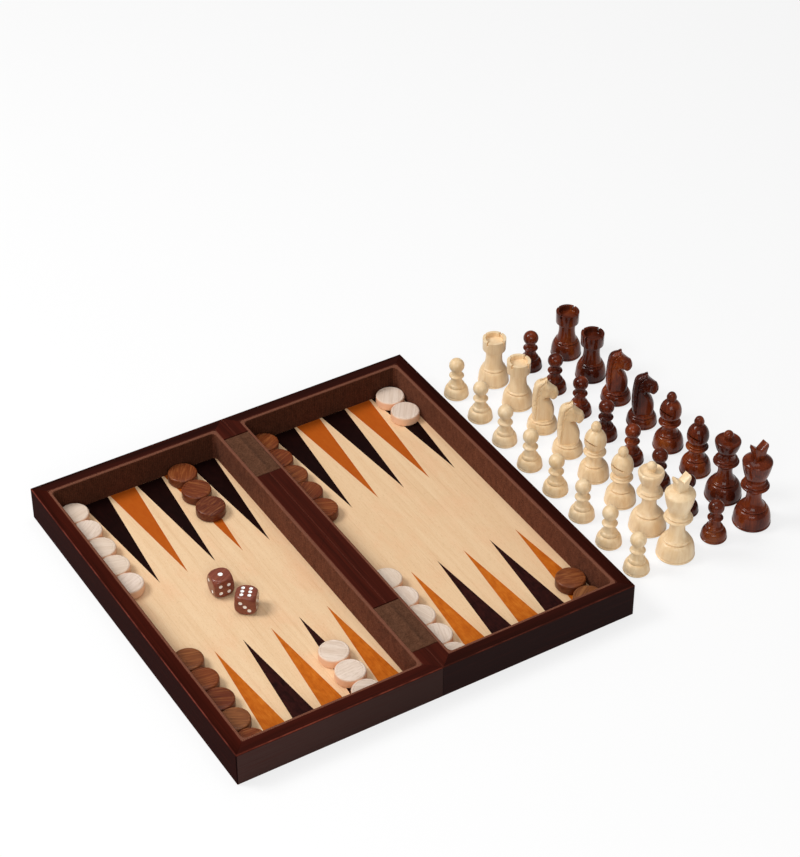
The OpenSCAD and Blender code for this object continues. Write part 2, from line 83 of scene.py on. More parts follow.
lens_data = bpy.data.cameras.new("photo_camera")
lens_data.lens, lens_data.sensor_width, lens_data.clip_start = 104.7575, 36, 0.05
camera = bpy.data.objects.new("photo_camera", lens_data)
bpy.context.scene.collection.objects.link(camera)
turned = Matrix((side, up, to_camera)).transposed().to_4x4()
camera.matrix_world = Matrix.Translation(aim_point + to_camera * distance) @ turned
bpy.context.scene.camera = camera
print("camera at", [round(v, 3) for v in camera.matrix_world.translation])

# %% [markdown]
# ## Small helpers for finishes
#
# A finish in Blender is a tree of nodes. Every tree here is built from the same few moves:
# add a node, do a sum, read a noise, and turn a number into a colour. Naming these moves
# once keeps each finish short enough to read as a recipe. Colours are written as on a paint
# card and turned into the linear light that the shader works in.


# %% Define the moves
def paint(card):
    """A paint card such as #c2651a as linear red, green, blue and full alpha."""
    parts = [int(card[i:i + 2], 16) / 255 for i in (1, 3, 5)]
    return tuple(p / 12.92 if p <= 0.04045 else ((p + 0.055) / 1.055) ** 2.4 for p in parts) + (1.0,)


def put(tree, kind, inputs=None, **settings):
    made = tree.nodes.new(kind)
    for key, value in settings.items():
        setattr(made, key, value)
    for key, value in (inputs or {}).items():
        if isinstance(value, bpy.types.NodeSocket):
            tree.links.new(value, made.inputs[key])
        else:
            made.inputs[key].default_value = value
    return made


def calc(tree, operation, a, b=0.0, clamp=False):
    return put(tree, "ShaderNodeMath", {0: a, 1: b}, operation=operation, use_clamp=clamp).outputs[0]


def step(tree, value, low, high):
    """A soft step from 0 at low to 1 at high."""
    made = put(tree, "ShaderNodeMapRange", {"Value": value, "From Min": low, "From Max": high},
               interpolation_type="SMOOTHSTEP")
    return made.outputs[0]


def mottle(tree, spot, scale, detail=3.0, rough=0.55, bend=0.0):
    """A noise with its own number of grains per metre along x, y and z."""
    wide = put(tree, "ShaderNodeMapping", {"Vector": spot, "Scale": scale})
    return put(tree, "ShaderNodeTexNoise", {"Vector": wide.outputs[0], "Scale": 1.0, "Detail": detail,
                                            "Roughness": rough, "Distortion": bend}).outputs["Fac"]


def colours(tree, value, *stops):
    made = put(tree, "ShaderNodeValToRGB", {"Fac": value})
    band = made.color_ramp
    while len(band.elements) < len(stops):
        band.elements.new(0.5)
    for element, (place, card) in zip(band.elements, stops):
        element.position, element.color = place, paint(card)
    return made.outputs["Color"]


def mix(tree, share, a, b):
    """Colour a with a share of colour b laid over it."""
    made = put(tree, "ShaderNodeMix", {0: share}, data_type="RGBA", blend_type="MIX")
    for socket, value in ((made.inputs[6], a), (made.inputs[7], b)):
        if isinstance(value, bpy.types.NodeSocket):
            tree.links.new(value, socket)
        else:
            socket.default_value = paint(value)
    return made.outputs[2]


def new_finish(name, roughness, coat=0.0, coat_roughness=0.15, specular=0.5, ior=1.5):
    finish = bpy.data.materials.new(name)
    finish.use_nodes = True
    skin = finish.node_tree.nodes["Principled BSDF"]
    skin.inputs["Roughness"].default_value = roughness
    skin.inputs["Coat Weight"].default_value = coat
    skin.inputs["Coat Roughness"].default_value = coat_roughness
    skin.inputs["Specular IOR Level"].default_value = specular
    skin.inputs["IOR"].default_value = ior
    return finish, finish.node_tree, skin


def wear(tree, skin, colour, height=None, depth=0.0, strength=1.0):
    """Links the colour, and a height in metres as bump."""
    tree.links.new(colour, skin.inputs["Base Color"])
    if height is not None:
        bump = put(tree, "ShaderNodeBump", {"Height": height, "Distance": depth, "Strength": strength})
        tree.links.new(bump.outputs[0], skin.inputs["Normal"])


print("helpers ready")

# %% [markdown]
# ## How wood is painted with noise
#
# Wood is a bundle of long fibres, so its figure hardly changes along the grain and changes
# fast across it. A noise that is stretched along one axis gives exactly that. Three of them
# make a board: fine fibres, broad bands, and short dark pores. Where a surface is laid from
# many small pieces, each piece gets its own offset, or the grain would run through all of
# them.


# %% Define the grain
def grain(tree, spot, along, fibre, length, detail=3.0, bend=0.0):
    """Stretched noise: fibre and length are its widths in mm, across and along the grain."""
    scale = [1000 / fibre] * 3
    scale[along] = 1000 / length
    return mottle(tree, spot, scale, detail, bend=bend)


def own_piece(tree, spot, pitch_x, pitch_y):
    """Moves the texture to another place for every cell of a grid of that pitch."""
    cell = put(tree, "ShaderNodeVectorMath", {0: spot, 1: (1 / pitch_x, 1 / pitch_y, 0)},
               operation="MULTIPLY")
    cell = put(tree, "ShaderNodeVectorMath", {0: cell.outputs[0]}, operation="FLOOR")
    chance = put(tree, "ShaderNodeTexWhiteNoise", {"Vector": cell.outputs[0]}, noise_dimensions="3D")
    moved = put(tree, "ShaderNodeVectorMath", {0: chance.outputs["Color"], 1: (0.9, 0.9, 0.9), 2: spot},
                operation="MULTIPLY_ADD")
    return moved.outputs[0], chance.outputs["Value"]


def object_spot(tree):
    return put(tree, "ShaderNodeTexCoord").outputs["Object"]


print("grain ready")

# %% [markdown]
# ## Lacquered rails
#
# The rails are a red-brown hardwood under a semi-gloss lacquer. Where hands rub the rounded
# outer edges, the stain is thinner, and a bright reddish line is painted there that is partly
# this wear and partly a painted highlight. A thinner, paler line along the sharp inner edges
# and the fold is partly thinner stain and partly a painted highlight. These lines lie at known
# places on the box, so each is worked out from the coordinates. The mitres get a hairline,
# because end grain drinks more stain. The outer faces get painted reflection and painted shade,
# which change along the front, and the inner half of each rail top gets painted light.

# %% Size the box in millimetres
HALF, TOP, EDGE, SEAM = 174.0, 30.0, 1.0, 0.1
RAIL, HINGE_RAIL, FLOOR = 10.4, 11.2, 3.6
INNER_LO, INNER_HI, INNER_Y = SEAM + HINGE_RAIL, HALF - RAIL, HALF - RAIL
print("tray opening in mm:", round(INNER_HI - INNER_LO, 1), "by", 2 * INNER_Y)


# %% Mix the rail lacquer
def box_mm(tree):
    """Distance from the fold, distance from the middle and height, all in mm."""
    parts = put(tree, "ShaderNodeSeparateXYZ", {0: object_spot(tree)})
    away = [calc(tree, "MULTIPLY", calc(tree, "ABSOLUTE", parts.outputs[i]), 1000) for i in (0, 1)]
    return away[0], away[1], calc(tree, "MULTIPLY", parts.outputs[2], 1000)


def ridge(tree, value):
    """Turns a slope from 0 to 1 into a narrow ridge that is 1 where the slope is half."""
    arch = calc(tree, "MULTIPLY", value, calc(tree, "SUBTRACT", 1.0, value))
    return calc(tree, "POWER", calc(tree, "MULTIPLY", arch, 4.0, clamp=True), 2.0)


def worn_and_lit_edges(tree):
    """Masks: outer edges (wear and painted highlight), inner edges (thinner stain and painted
    highlight), dark joints, inner half and outer faces (painted light), away from the fold.
    """
    x, y, z = box_mm(tree)
    round_x = step(tree, x, HALF - EDGE, HALF)
    round_y = step(tree, y, HALF - EDGE, HALF)
    round_z = step(tree, z, TOP - EDGE, TOP)
    along_top = calc(tree, "MULTIPLY", calc(tree, "MAXIMUM", round_x, round_y), round_z)
    outer, corner_line = ridge(tree, along_top), ridge(tree, calc(tree, "MULTIPLY", round_x, round_y))
    middle, reach = (INNER_LO + INNER_HI) / 2, (INNER_HI - INNER_LO) / 2
    from_middle = calc(tree, "ABSOLUTE", calc(tree, "SUBTRACT", x, middle))
    from_wall = calc(tree, "MAXIMUM", calc(tree, "SUBTRACT", from_middle, reach),
                     calc(tree, "SUBTRACT", y, INNER_Y))
    near_wall = calc(tree, "SUBTRACT", 1.0, step(tree, from_wall, 0.1, 0.6))
    near_fold = calc(tree, "MULTIPLY", calc(tree, "SUBTRACT", 1.0, step(tree, x, 0.3, 0.8)), 0.6)
    inner = calc(tree, "MULTIPLY", calc(tree, "MAXIMUM", near_wall, near_fold),
                 step(tree, z, TOP - 1.6, TOP - 0.6))
    corner = calc(tree, "SUBTRACT", x, y)
    slant = HINGE_RAIL / RAIL
    fold_corner = calc(tree, "SUBTRACT", calc(tree, "ADD", x, calc(tree, "MULTIPLY", y, slant)),
                       SEAM + HALF * slant)
    line = calc(tree, "MINIMUM", calc(tree, "ABSOLUTE", corner), calc(tree, "ABSOLUTE", fold_corner))
    mitre = calc(tree, "SUBTRACT", 1.0, step(tree, line, 0.05, 0.3))
    inner_half = calc(tree, "SUBTRACT", 1.0, step(tree, from_wall, 1.0, 8.5))
    below = calc(tree, "SUBTRACT", 1.0, step(tree, z, TOP - EDGE - 0.6, TOP - EDGE))
    faces = calc(tree, "MULTIPLY", step(tree, calc(tree, "MAXIMUM", x, y), HALF - 0.4, HALF - 0.1), below)
    dark_lines = calc(tree, "MAXIMUM", calc(tree, "MULTIPLY", mitre, 0.5),
                      calc(tree, "MULTIPLY", corner_line, below))
    return outer, inner, dark_lines, inner_half, faces, step(tree, x, 10, 150)


def rail_lacquer(name, along, low, middle, high, worn_glint, fold_face_light, far_face_light, ior):
    finish, tree, skin = new_finish(name, 0.28, ior=ior)
    spot = object_spot(tree)
    fibres = grain(tree, spot, along, 0.9, 45, 4, 0.4)
    bands = grain(tree, spot, along, 9, 160, 2, 0.8)
    wood = colours(tree, calc(tree, "ADD", calc(tree, "MULTIPLY", fibres, 0.45),
                              calc(tree, "MULTIPLY", bands, 0.55)),
                   (0.36, low), (0.5, middle), (0.64, high))
    outer, inner, dark_lines, inner_half, faces, far_out = worn_and_lit_edges(tree)
    # Painted light: the inner half of each rail top is painted redder, as a gloss and shade gradient
    wood = mix(tree, calc(tree, "MULTIPLY", inner_half, 0.45), wood, high)
    # Painted reflection and shade on the outer faces: greyer brown on the front and back, darker on the ends,
    # changing along the front from the fold outwards
    streaks = calc(tree, "SUBTRACT", 1.0, calc(tree, "MULTIPLY", step(tree, fibres, 0.45, 0.75), 0.45))
    wood = mix(tree, calc(tree, "MULTIPLY", faces, streaks), wood, mix(tree, far_out, fold_face_light, far_face_light))
    # Painted highlight and wear: a bright reddish line along the rounded outer edges, uneven in strength
    patchy = step(tree, mottle(tree, spot, (60, 60, 60), 3), 0.35, 0.65)
    uneven = calc(tree, "ADD", calc(tree, "MULTIPLY", patchy, 0.5), 0.2)
    wood = mix(tree, calc(tree, "MULTIPLY", outer, uneven), wood, worn_glint)
    # Painted highlight and thinner stain: a paler line along the inner edges and the fold
    wood = mix(tree, calc(tree, "MULTIPLY", inner, 0.45), wood, "#7a3f30")
    wood = mix(tree, dark_lines, wood, "#120404")
    wear(tree, skin, wood, fibres, 0.00006, 0.5)
    return finish


WARM, DEEP = ("#2a0e09", "#34120c", "#43170f"), ("#200b08", "#290f0a", "#35130d")
HINGE, WORN_GLINT = ("#2c0f09", "#38140d", "#481a11"), "#6a3428"
# Grain axis, stain, colour of the worn outer edges with their painted highlight, painted
# reflection and shade on the outer face at the fold and far from it, gloss as IOR
COATS = {"left_front": (0, *WARM, "#8e4433", "#34211d", "#3f2925", 1.1),
         "right_front": (0, *DEEP, WORN_GLINT, "#210e0c", "#1e0a08", 1.1),
         "back": (0, *DEEP, WORN_GLINT, "#2a1613", "#2a1613", 1.1),
         "left_outer": (1, *WARM, "#844136", "#250a07", "#250a07", 1.02),
         "right_outer": (1, *DEEP, WORN_GLINT, "#240a07", "#240a07", 1.03),
         "hinge": (1, *HINGE, WORN_GLINT, "#2a1613", "#2a1613", 1.1)}
NAMES = {"hinge": "hinge_rail_lacquer"}
lacquers = {rail: rail_lacquer(NAMES.get(rail, rail + "_lacquer"), *coat) for rail, coat in COATS.items()}
print("lacquers:", len(lacquers))


# %% [markdown]
# The CAD rails have true rounded outer edges, but knife-sharp inner ones. A real rail has
# every edge broken with sandpaper. A bevel modifier does the same without touching the
# CAD mesh. It needs joined vertices, so a weld comes first, and weighted normals after it
# keep the flat faces flat.


# %% Break the sharp edges
def dress(names, finish):
    for name in names:
        part = nodes[name]
        part.data.materials.clear()
        part.data.materials.append(finish)


def break_edges(name, width):
    part = nodes[name]
    part.modifiers.new("join", "WELD").merge_threshold = 0.000002
    rounding = part.modifiers.new("break edges", "BEVEL")
    rounding.width, rounding.segments, rounding.angle_limit = width, 2, math.radians(40)
    rounding.limit_method, rounding.use_clamp_overlap = "ANGLE", True
    part.modifiers.new("flat faces", "WEIGHTED_NORMAL").keep_sharp = False


for tray in ("left", "right"):
    for rail in ("front", "back", "outer", "hinge"):
        dress([f"{tray}_{rail}_rail"], lacquers.get(f"{tray}_{rail}") or lacquers[rail])
        if rail != "hinge":
            break_edges(f"{tray}_{rail}_rail", 0.25 * MM)
print("rails dressed")

# %% [markdown]
# ## Veneers
#
# The chess side is laid in two veneers: one dark with red-brown stripes, one pale with
# hardly any figure. Every square is cut from another place on the leaf, so each gets its
# own offset. In the border the stripes follow each strip and meet at the mitres, so the
# texture turns there. Inside, the pale leaf is one sheet per tray, and the points are the
# same kind of leaf stained through.

# %% Mix the striped veneer
SQUARE = 0.038


def striped(tree, spot, along):
    stripes = grain(tree, spot, along, 1.7, 120, 5, 1.2)
    threads = grain(tree, spot, along, 0.35, 25, 2)
    wide = grain(tree, spot, along, 14, 300, 2)
    figure = calc(tree, "ADD", calc(tree, "MULTIPLY", stripes, 0.62),
                  calc(tree, "ADD", calc(tree, "MULTIPLY", threads, 0.2), calc(tree, "MULTIPLY", wide, 0.18)))
    return figure, threads


STRIPES = ((0.36, "#150a08"), (0.46, "#2a1612"), (0.53, "#3d211a"), (0.58, "#6a4234"), (0.63, "#3a1f1c"),
           (0.72, "#23120f"))


def striped_squares():
    finish, tree, skin = new_finish("striped_veneer_squares", 0.36, coat=0.05, coat_roughness=0.2, ior=1.25)
    spot, chance = own_piece(tree, object_spot(tree), SQUARE, SQUARE)
    figure, threads = striped(tree, spot, 1)
    wood = colours(tree, figure, *STRIPES)
    wood = mix(tree, calc(tree, "MULTIPLY", chance, 0.35), wood, "#20100e")
    wear(tree, skin, wood, threads, 0.00004, 0.5)
    return finish


def striped_border():
    finish, tree, skin = new_finish("striped_veneer_border", 0.36, coat=0.05, coat_roughness=0.2, ior=1.25)
    spot = object_spot(tree)
    x, y, _ = box_mm(tree)
    ends = calc(tree, "GREATER_THAN", y, x)
    long_way, threads_y = striped(tree, spot, 1)
    short_way, threads_x = striped(tree, spot, 0)
    wood = mix(tree, ends, colours(tree, long_way, *STRIPES), colours(tree, short_way, *STRIPES))
    threads = calc(tree, "MAXIMUM", threads_x, threads_y)
    line = calc(tree, "ABSOLUTE", calc(tree, "SUBTRACT", x, y))
    mitre = calc(tree, "SUBTRACT", 1.0, step(tree, line, 0.05, 0.3))
    wood = mix(tree, calc(tree, "MULTIPLY", mitre, 0.6), wood, "#0d0504")
    # Painted highlight: a pale pinkish line along the outer edge of the border
    edge = step(tree, calc(tree, "MAXIMUM", x, y), HALF - 0.7, HALF - 0.2)
    wood = mix(tree, calc(tree, "MULTIPLY", edge, 0.5), wood, "#8a5a4c")
    wear(tree, skin, wood, threads, 0.00004, 0.5)
    return finish


for tray in ("left", "right"):
    dress([f"{tray}_dark_squares"], striped_squares())
    dress([f"{tray}_border_veneer"], striped_border())
border_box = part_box("left_border_veneer")
print("striped border of one tray in mm:", [round(v / MM, 1) for v in border_box[1] - border_box[0]])


# %% Mix the pale and stained veneers
def pale_leaf(name, light, dark, pitch_x, pitch_y, along=1):
    finish, tree, skin = new_finish(name, 0.42, ior=1.25)
    # A leaf as long as the tray is shifted, so that no join falls on the middle of the field
    shift = 0.19 if pitch_y > 0.3 else 0.0
    corner = put(tree, "ShaderNodeVectorMath", {0: object_spot(tree), 1: (0.0, shift, 0.0)})
    spot, chance = own_piece(tree, corner.outputs[0], pitch_x, pitch_y)
    bands = grain(tree, spot, along, 6, 220, 3, 0.7)
    fibres = grain(tree, spot, along, 0.5, 14, 3)
    flecks = grain(tree, spot, along, 0.35, 1.6, 1)
    specks = grain(tree, spot, along, 0.5, 3.2, 2)
    clouds = mottle(tree, spot, (45, 22, 45), 3, 0.6)
    lines = grain(tree, spot, along, 1.6, 90, 2, 0.3)
    wood = mix(tree, calc(tree, "MULTIPLY", step(tree, bands, 0.3, 0.7), 0.6), light, dark)
    wood = mix(tree, calc(tree, "MULTIPLY", step(tree, clouds, 0.45, 0.7), 0.45), wood, "#edbb91")
    wood = mix(tree, calc(tree, "MULTIPLY", step(tree, lines, 0.58, 0.7), 0.22), wood, "#c6966a")
    wood = mix(tree, calc(tree, "MULTIPLY", step(tree, specks, 0.58, 0.7), 0.28), wood, "#b98a5e")
    wood = mix(tree, calc(tree, "MULTIPLY", step(tree, fibres, 0.45, 0.75), 0.2), wood, "#c99a63")
    wood = mix(tree, calc(tree, "MULTIPLY", step(tree, flecks, 0.6, 0.72), 0.25), wood, "#fff0d2")
    wood = mix(tree, calc(tree, "MULTIPLY", chance, 0.3), wood, dark)
    wear(tree, skin, wood, fibres, 0.00003, 0.35)
    return finish


def stained_leaf(name, low, middle, high, far, pitch=0.0246):
    """Stained veneer. The points get painted shade: they are painted darker towards the back of the tray."""
    finish, tree, skin = new_finish(name, 0.4, ior=1.13)
    spot, chance = own_piece(tree, object_spot(tree), pitch, 0.174)
    clouds = mottle(tree, spot, (220, 140, 220), 4, 0.6)
    fibres = grain(tree, spot, 1, 0.45, 16, 3)
    figure = calc(tree, "ADD", calc(tree, "MULTIPLY", clouds, 0.6), calc(tree, "MULTIPLY", fibres, 0.4))
    wood = colours(tree, figure, (0.35, low), (0.5, middle), (0.64, high))
    wood = mix(tree, calc(tree, "MULTIPLY", chance, 0.25), wood, low)
    # Painted shade: the far colour is mixed in towards the back of the tray
    to_back = put(tree, "ShaderNodeSeparateXYZ", {0: object_spot(tree)}).outputs[1]
    wood = mix(tree, calc(tree, "MULTIPLY", step(tree, to_back, -0.12, 0.12), 0.8), wood, far)
    wear(tree, skin, wood, fibres, 0.00003, 0.35)
    return finish


field_leaf = pale_leaf("pale_field_leaf", "#efcda4", "#e4bd92", 0.4, 0.4)
square_leaf = pale_leaf("pale_square_leaf", "#f3d8ae", "#e8c598", SQUARE, SQUARE)
line_leaf = pale_leaf("pale_line_leaf", "#fbeed6", "#f1ddbb", 0.4, 0.4)
amber_leaf = stained_leaf("amber_leaf", "#ae5414", "#c2651a", "#ce7424", "#ae5016")
black_leaf = stained_leaf("black_brown_leaf", "#1d0b09", "#2d1210", "#3a1814", "#100504")
for tray in ("left", "right"):
    dress([f"{tray}_playing_field"], field_leaf)
    dress([f"{tray}_light_squares"], square_leaf)
    dress([f"{tray}_stringing"], line_leaf)
    dress([f"{tray}_amber_points"], amber_leaf)
    dress([f"{tray}_dark_points"], black_leaf)
print("pale and stained leaves laid")


# %% [markdown]
# ## What lies hidden
#
# The plywood base, the hinge leaves, their pins and screws, and the magnets are covered in
# use. They still have their own finishes, because someone may open the model up. Brushed
# metal is a plain metal whose roughness changes in fine streaks.


# %% Finish the hidden parts
def brushed(name, card, along, roughness):
    finish, tree, skin = new_finish(name, roughness)
    skin.inputs["Metallic"].default_value = 1.0
    streaks = grain(tree, object_spot(tree), along, 0.12, 9, 2)
    wear(tree, skin, mix(tree, calc(tree, "MULTIPLY", streaks, 0.5), card, "#4a3c28"), streaks, 0.00002, 0.4)
    uneven = put(tree, "ShaderNodeMath", {0: streaks, 1: 0.25, 2: roughness}, operation="MULTIPLY_ADD")
    tree.links.new(uneven.outputs[0], skin.inputs["Roughness"])
    return finish


def plywood():
    finish, tree, skin = new_finish("plywood", 0.7)
    spot = object_spot(tree)
    layer = put(tree, "ShaderNodeTexWave", {"Vector": spot, "Scale": 900.0 / 6.283 / 5},
                wave_type="BANDS", bands_direction="Z").outputs["Fac"]
    fibres = grain(tree, spot, 1, 0.8, 30, 3)
    wood = mix(tree, layer, "#c9a676", "#b28a5a")
    wear(tree, skin, mix(tree, calc(tree, "MULTIPLY", fibres, 0.5), wood, "#8f6b42"), fibres, 0.00008)
    return finish


brass = brushed("hinge_brass", "#c9a45a", 1, 0.3)
steel = brushed("screw_steel", "#b9b7b2", 0, 0.28)
board = plywood()
dress(["hinge_pins"], brass)
for tray in ("left", "right"):
    dress([f"{tray}_hinge_leaves"], brass)
    dress([f"{tray}_leaf_screws", f"{tray}_magnets"], steel)
    dress([f"{tray}_base_panel"], board)
print("hidden parts finished")

# %% [markdown]
# ## Felt on the walls
#
# A strip of brown felt is glued round the inside of each tray. It bends round the corners in
# a small radius, and its cut top edge is soft, with a painted highlight that makes it lighter.
# The end walls get painted shade. The strip is lofted between two curves, one on the wood and
# one on the free face, with an eased top. Slow noise moves the free face by a tenth of a
# millimetre, because glued felt is never quite flat. The pile is finer than any mesh, so it is
# left to bump and sheen.


# %% Mix the felt
def felt(name, low, high, ribs=None):
    """Wool that is low in its shade and high in its light. Ribs give the pitch of pressed lines in mm."""
    finish, tree, skin = new_finish(name, 0.95, specular=0.3, ior=1.15)
    skin.inputs["Sheen Weight"].default_value = 0.1
    skin.inputs["Sheen Roughness"].default_value = 0.45
    skin.inputs["Sheen Tint"].default_value = paint("#b98a74")
    spot = object_spot(tree)
    pile = mottle(tree, spot, (1500, 1500, 1500), 3, 0.7)
    clouds = mottle(tree, spot, (260, 260, 120), 4, 0.6)
    fuzz = mottle(tree, spot, (700, 700, 700), 2, 0.6)
    figure = calc(tree, "ADD", calc(tree, "MULTIPLY", pile, 0.45),
                  calc(tree, "ADD", calc(tree, "MULTIPLY", clouds, 0.25), calc(tree, "MULTIPLY", fuzz, 0.3)))
    wool = colours(tree, figure, (0.4, low), (0.6, high))
    height = calc(tree, "ADD", pile, fuzz)
    if ribs:
        _, y, z = box_mm(tree)
        parts = put(tree, "ShaderNodeSeparateXYZ", {0: spot})
        ends = calc(tree, "GREATER_THAN", y, INNER_Y - 3.0)
        run = put(tree, "ShaderNodeMix", {0: ends, 2: parts.outputs[1], 3: parts.outputs[0]},
                  data_type="FLOAT")
        sway = calc(tree, "MULTIPLY", mottle(tree, spot, (90, 90, 40), 2), 3.0)
        turns = calc(tree, "ADD", calc(tree, "MULTIPLY", run.outputs[0], 6283.0 / ribs), sway)
        wave = calc(tree, "ADD", calc(tree, "MULTIPLY", calc(tree, "SINE", turns), 0.5), 0.5)
        wool = mix(tree, calc(tree, "MULTIPLY", wave, 0.4), wool, low)
        # Painted shade: the end walls of the tray are painted darker
        wool = mix(tree, calc(tree, "MULTIPLY", ends, 0.5), wool, "#2a1208")
        # Painted highlight: the top edge of the felt is painted lighter
        top = step(tree, z, TOP - 1.4, TOP - 0.5)
        wool = mix(tree, calc(tree, "MULTIPLY", top, 0.8), wool, "#7a4d3c")
        height = calc(tree, "SUBTRACT", height, wave)
    wear(tree, skin, wool, height, 0.0003, 0.8)
    return finish


wall_wool = felt("wall_felt", "#4a281c", "#804c37", ribs=1.7)
patch_wool = felt("patch_felt", "#452a1c", "#674533")
print("felts mixed")


# %% Build meshes from points
def new_piece(name, points, faces, finishes, smooth=35):
    """A piece from points in mm. Edges sharper than smooth degrees stay crisp."""
    mesh = bpy.data.meshes.new(name)
    mesh.from_pydata([(x * MM, y * MM, z * MM) for x, y, z in points], [], faces)
    mesh.validate()
    mesh.shade_smooth()
    mesh.set_sharp_from_angle(angle=math.radians(smooth))
    for finish in finishes:
        mesh.materials.append(finish)
    piece = bpy.data.objects.new(name, mesh)
    bpy.context.scene.collection.objects.link(piece)
    return piece


def loft(rows, closed_rows=True):
    """Faces between closed rings of equally many points."""
    count, faces = len(rows[0]), []
    for r in range(len(rows) if closed_rows else len(rows) - 1):
        s = (r + 1) % len(rows)
        for c in range(count):
            d = (c + 1) % count
            faces.append((r * count + c, s * count + c, s * count + d, r * count + d))
    return [p for row in rows for p in row], faces


SIDE_STEPS = (130, 60)


def rounded_corner_loop(x0, x1, y1, radius):
    """A closed loop of points round the inside of a tray, with rounded corners."""
    loop = []
    corners = [(x1 - radius, -y1 + radius, -90), (x1 - radius, y1 - radius, 0),
               (x0 + radius, y1 - radius, 90), (x0 + radius, -y1 + radius, 180)]
    for i, (cx, cy, start) in enumerate(corners):
        turn = [(cx + radius * math.cos(math.radians(start + a)),
                 cy + radius * math.sin(math.radians(start + a))) for a in range(0, 91, 10)]
        loop += turn
        nx, ny, nstart = corners[(i + 1) % 4]
        after = (nx + radius * math.cos(math.radians(nstart)), ny + radius * math.sin(math.radians(nstart)))
        gap = math.dist(turn[-1], after)
        steps = SIDE_STEPS[i % 2]
        loop += [(turn[-1][0] + (after[0] - turn[-1][0]) * k / steps,
                  turn[-1][1] + (after[1] - turn[-1][1]) * k / steps) for k in range(1, steps)]
    return loop


print("points on a side and on an end of a tray:", SIDE_STEPS)


# %% Line the walls
def line_walls(tray):
    sign = -1 if tray == "left" else 1
    thick, glue, free_corner, glued_corner = 2.4, 0.02, 4, 2.5
    low, high, ease = FLOOR, TOP - 0.3, 0.9
    free = rounded_corner_loop(INNER_LO + thick, INNER_HI - thick, INNER_Y - thick, free_corner)
    wood = rounded_corner_loop(INNER_LO + glue, INNER_HI - glue, INNER_Y - glue, glued_corner)
    section = [(1.0, low + glue)] + [(1.0, low + (high - low - ease) * k / 9) for k in range(1, 10)]
    for turn in (math.radians(a) for a in (18, 36, 54, 72, 90)):
        section.append((1 - ease / thick * (1 - math.cos(turn)), high - ease * (1 - math.sin(turn))))
    section += [(0.3, high), (0.0, high - 0.05), (0.0, low + glue)]
    rows = []
    for share, z in section:
        row = []
        for (fx, fy), (wx, wy) in zip(free, wood):
            x, y = wx + (fx - wx) * share, wy + (fy - wy) * share
            if share > 0.5 and z > low + 1:
                push = 0.13 * noise.noise(Vector((x * 0.045 + sign * 9, y * 0.045, z * 0.05)))
                fuzz = 0.05 * noise.noise(Vector((x * 0.8, y * 0.8, z * 0.8)))
                length = math.hypot(fx - wx, fy - wy)
                x += (fx - wx) / length * (push + fuzz)
                y += (fy - wy) / length * (push + fuzz)
            row.append((sign * x, y, z))
        rows.append(row)
    points, faces = loft(rows)
    if sign > 0:
        faces = [f[::-1] for f in faces]
    lining = new_piece(f"{tray}_wall_lining", points, faces, [wall_wool], 80)
    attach(lining, f"{tray}_tray")
    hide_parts(f"{tray}_wall_felt")
    return lining


linings = [line_walls(tray) for tray in ("left", "right")]
print("wall linings:", [len(p.data.vertices) for p in linings], "points each")

# %% [markdown]
# ## Felt over the hinges
#
# One strip of felt covers each hinge, from the left tray's opening to the right one's. It
# rises in a low hump over the barrel.

# %% Lay the hinge felts
HINGE_Y, PATCH_LONG, PATCH_Z = 120.0, 57.0, 28.8
BARREL_END, BARREL_FADE = 26.5, 5.5
HUMP, HUMP_WIDE = 1.95, 2.6


def over_barrel(y):
    """1 along the hinge, falling to 0 towards the felt's ends."""
    return max(0.0, min(1.0, (BARREL_END - abs(y)) / BARREL_FADE)) ** 0.7


def patch_top(x, y):
    hump = HUMP * math.exp(-(x / HUMP_WIDE) ** 2) * over_barrel(y)
    loose = 0.1 * noise.noise(Vector((x * 0.15, y * 0.09, 3.0)))
    return TOP - 0.12 + hump + loose


def patch_bottom(x, y):
    return PATCH_Z + 0.03 + 2.5 * math.exp(-(x / 1.9) ** 4) * over_barrel(y)


def ring_of(across, along):
    """The grid's border, once round, anticlockwise from above."""
    ring = [(x, along[0]) for x in across] + [(across[-1], y) for y in along[1:]]
    return ring + [(x, along[-1]) for x in across[-2::-1]] + [(across[0], y) for y in along[-2:0:-1]]


def drawn_in(value, limit, by):
    return max(-limit + by, min(limit - by, value))


def lay_patch(place, name):
    reach, half = INNER_LO - 0.2, PATCH_LONG / 2 - 0.6
    across = [(-reach + 2 * reach * i / 48) for i in range(49)]
    along = [-half + 2 * half * j / 60 for j in range(61)]
    rows = []
    for edge, lift in ((0.0, None), (0.0, -0.5), (0.15, -0.17), (0.45, 0.0)):
        if lift is None:
            rows.append([(x, y, patch_bottom(x, y)) for x, y in ring_of(across, along)])
        else:
            rows.append([(drawn_in(x, reach, edge), drawn_in(y, half, edge), patch_top(x, y) + lift)
                         for x, y in ring_of(across, along)])
    points, faces = loft(rows, closed_rows=False)
    for top in (True, False):
        first = len(points)
        inner_x, inner_y = across[1:-1], along[1:-1]
        points += [(x, y, patch_top(x, y) if top else patch_bottom(x, y)) for y in inner_y for x in inner_x]
        ring = (len(rows) - 1) * len(rows[0]) if top else 0
        names = {}
        for k, (x, y) in enumerate(ring_of(across, along)):
            names[(x, y)] = ring + k
        for j, y in enumerate(inner_y):
            for i, x in enumerate(inner_x):
                names[(x, y)] = first + j * len(inner_x) + i
        for j in range(len(along) - 1):
            for i in range(len(across) - 1):
                quad = [names[(across[i], along[j])], names[(across[i + 1], along[j])],
                        names[(across[i + 1], along[j + 1])], names[(across[i], along[j + 1])]]
                faces.append(tuple(quad if top else quad[::-1]))
    points = [(x, y + place, z) for x, y, z in points]
    patch = new_piece(name, points, faces, [patch_wool], 80)
    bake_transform(patch)
    return patch


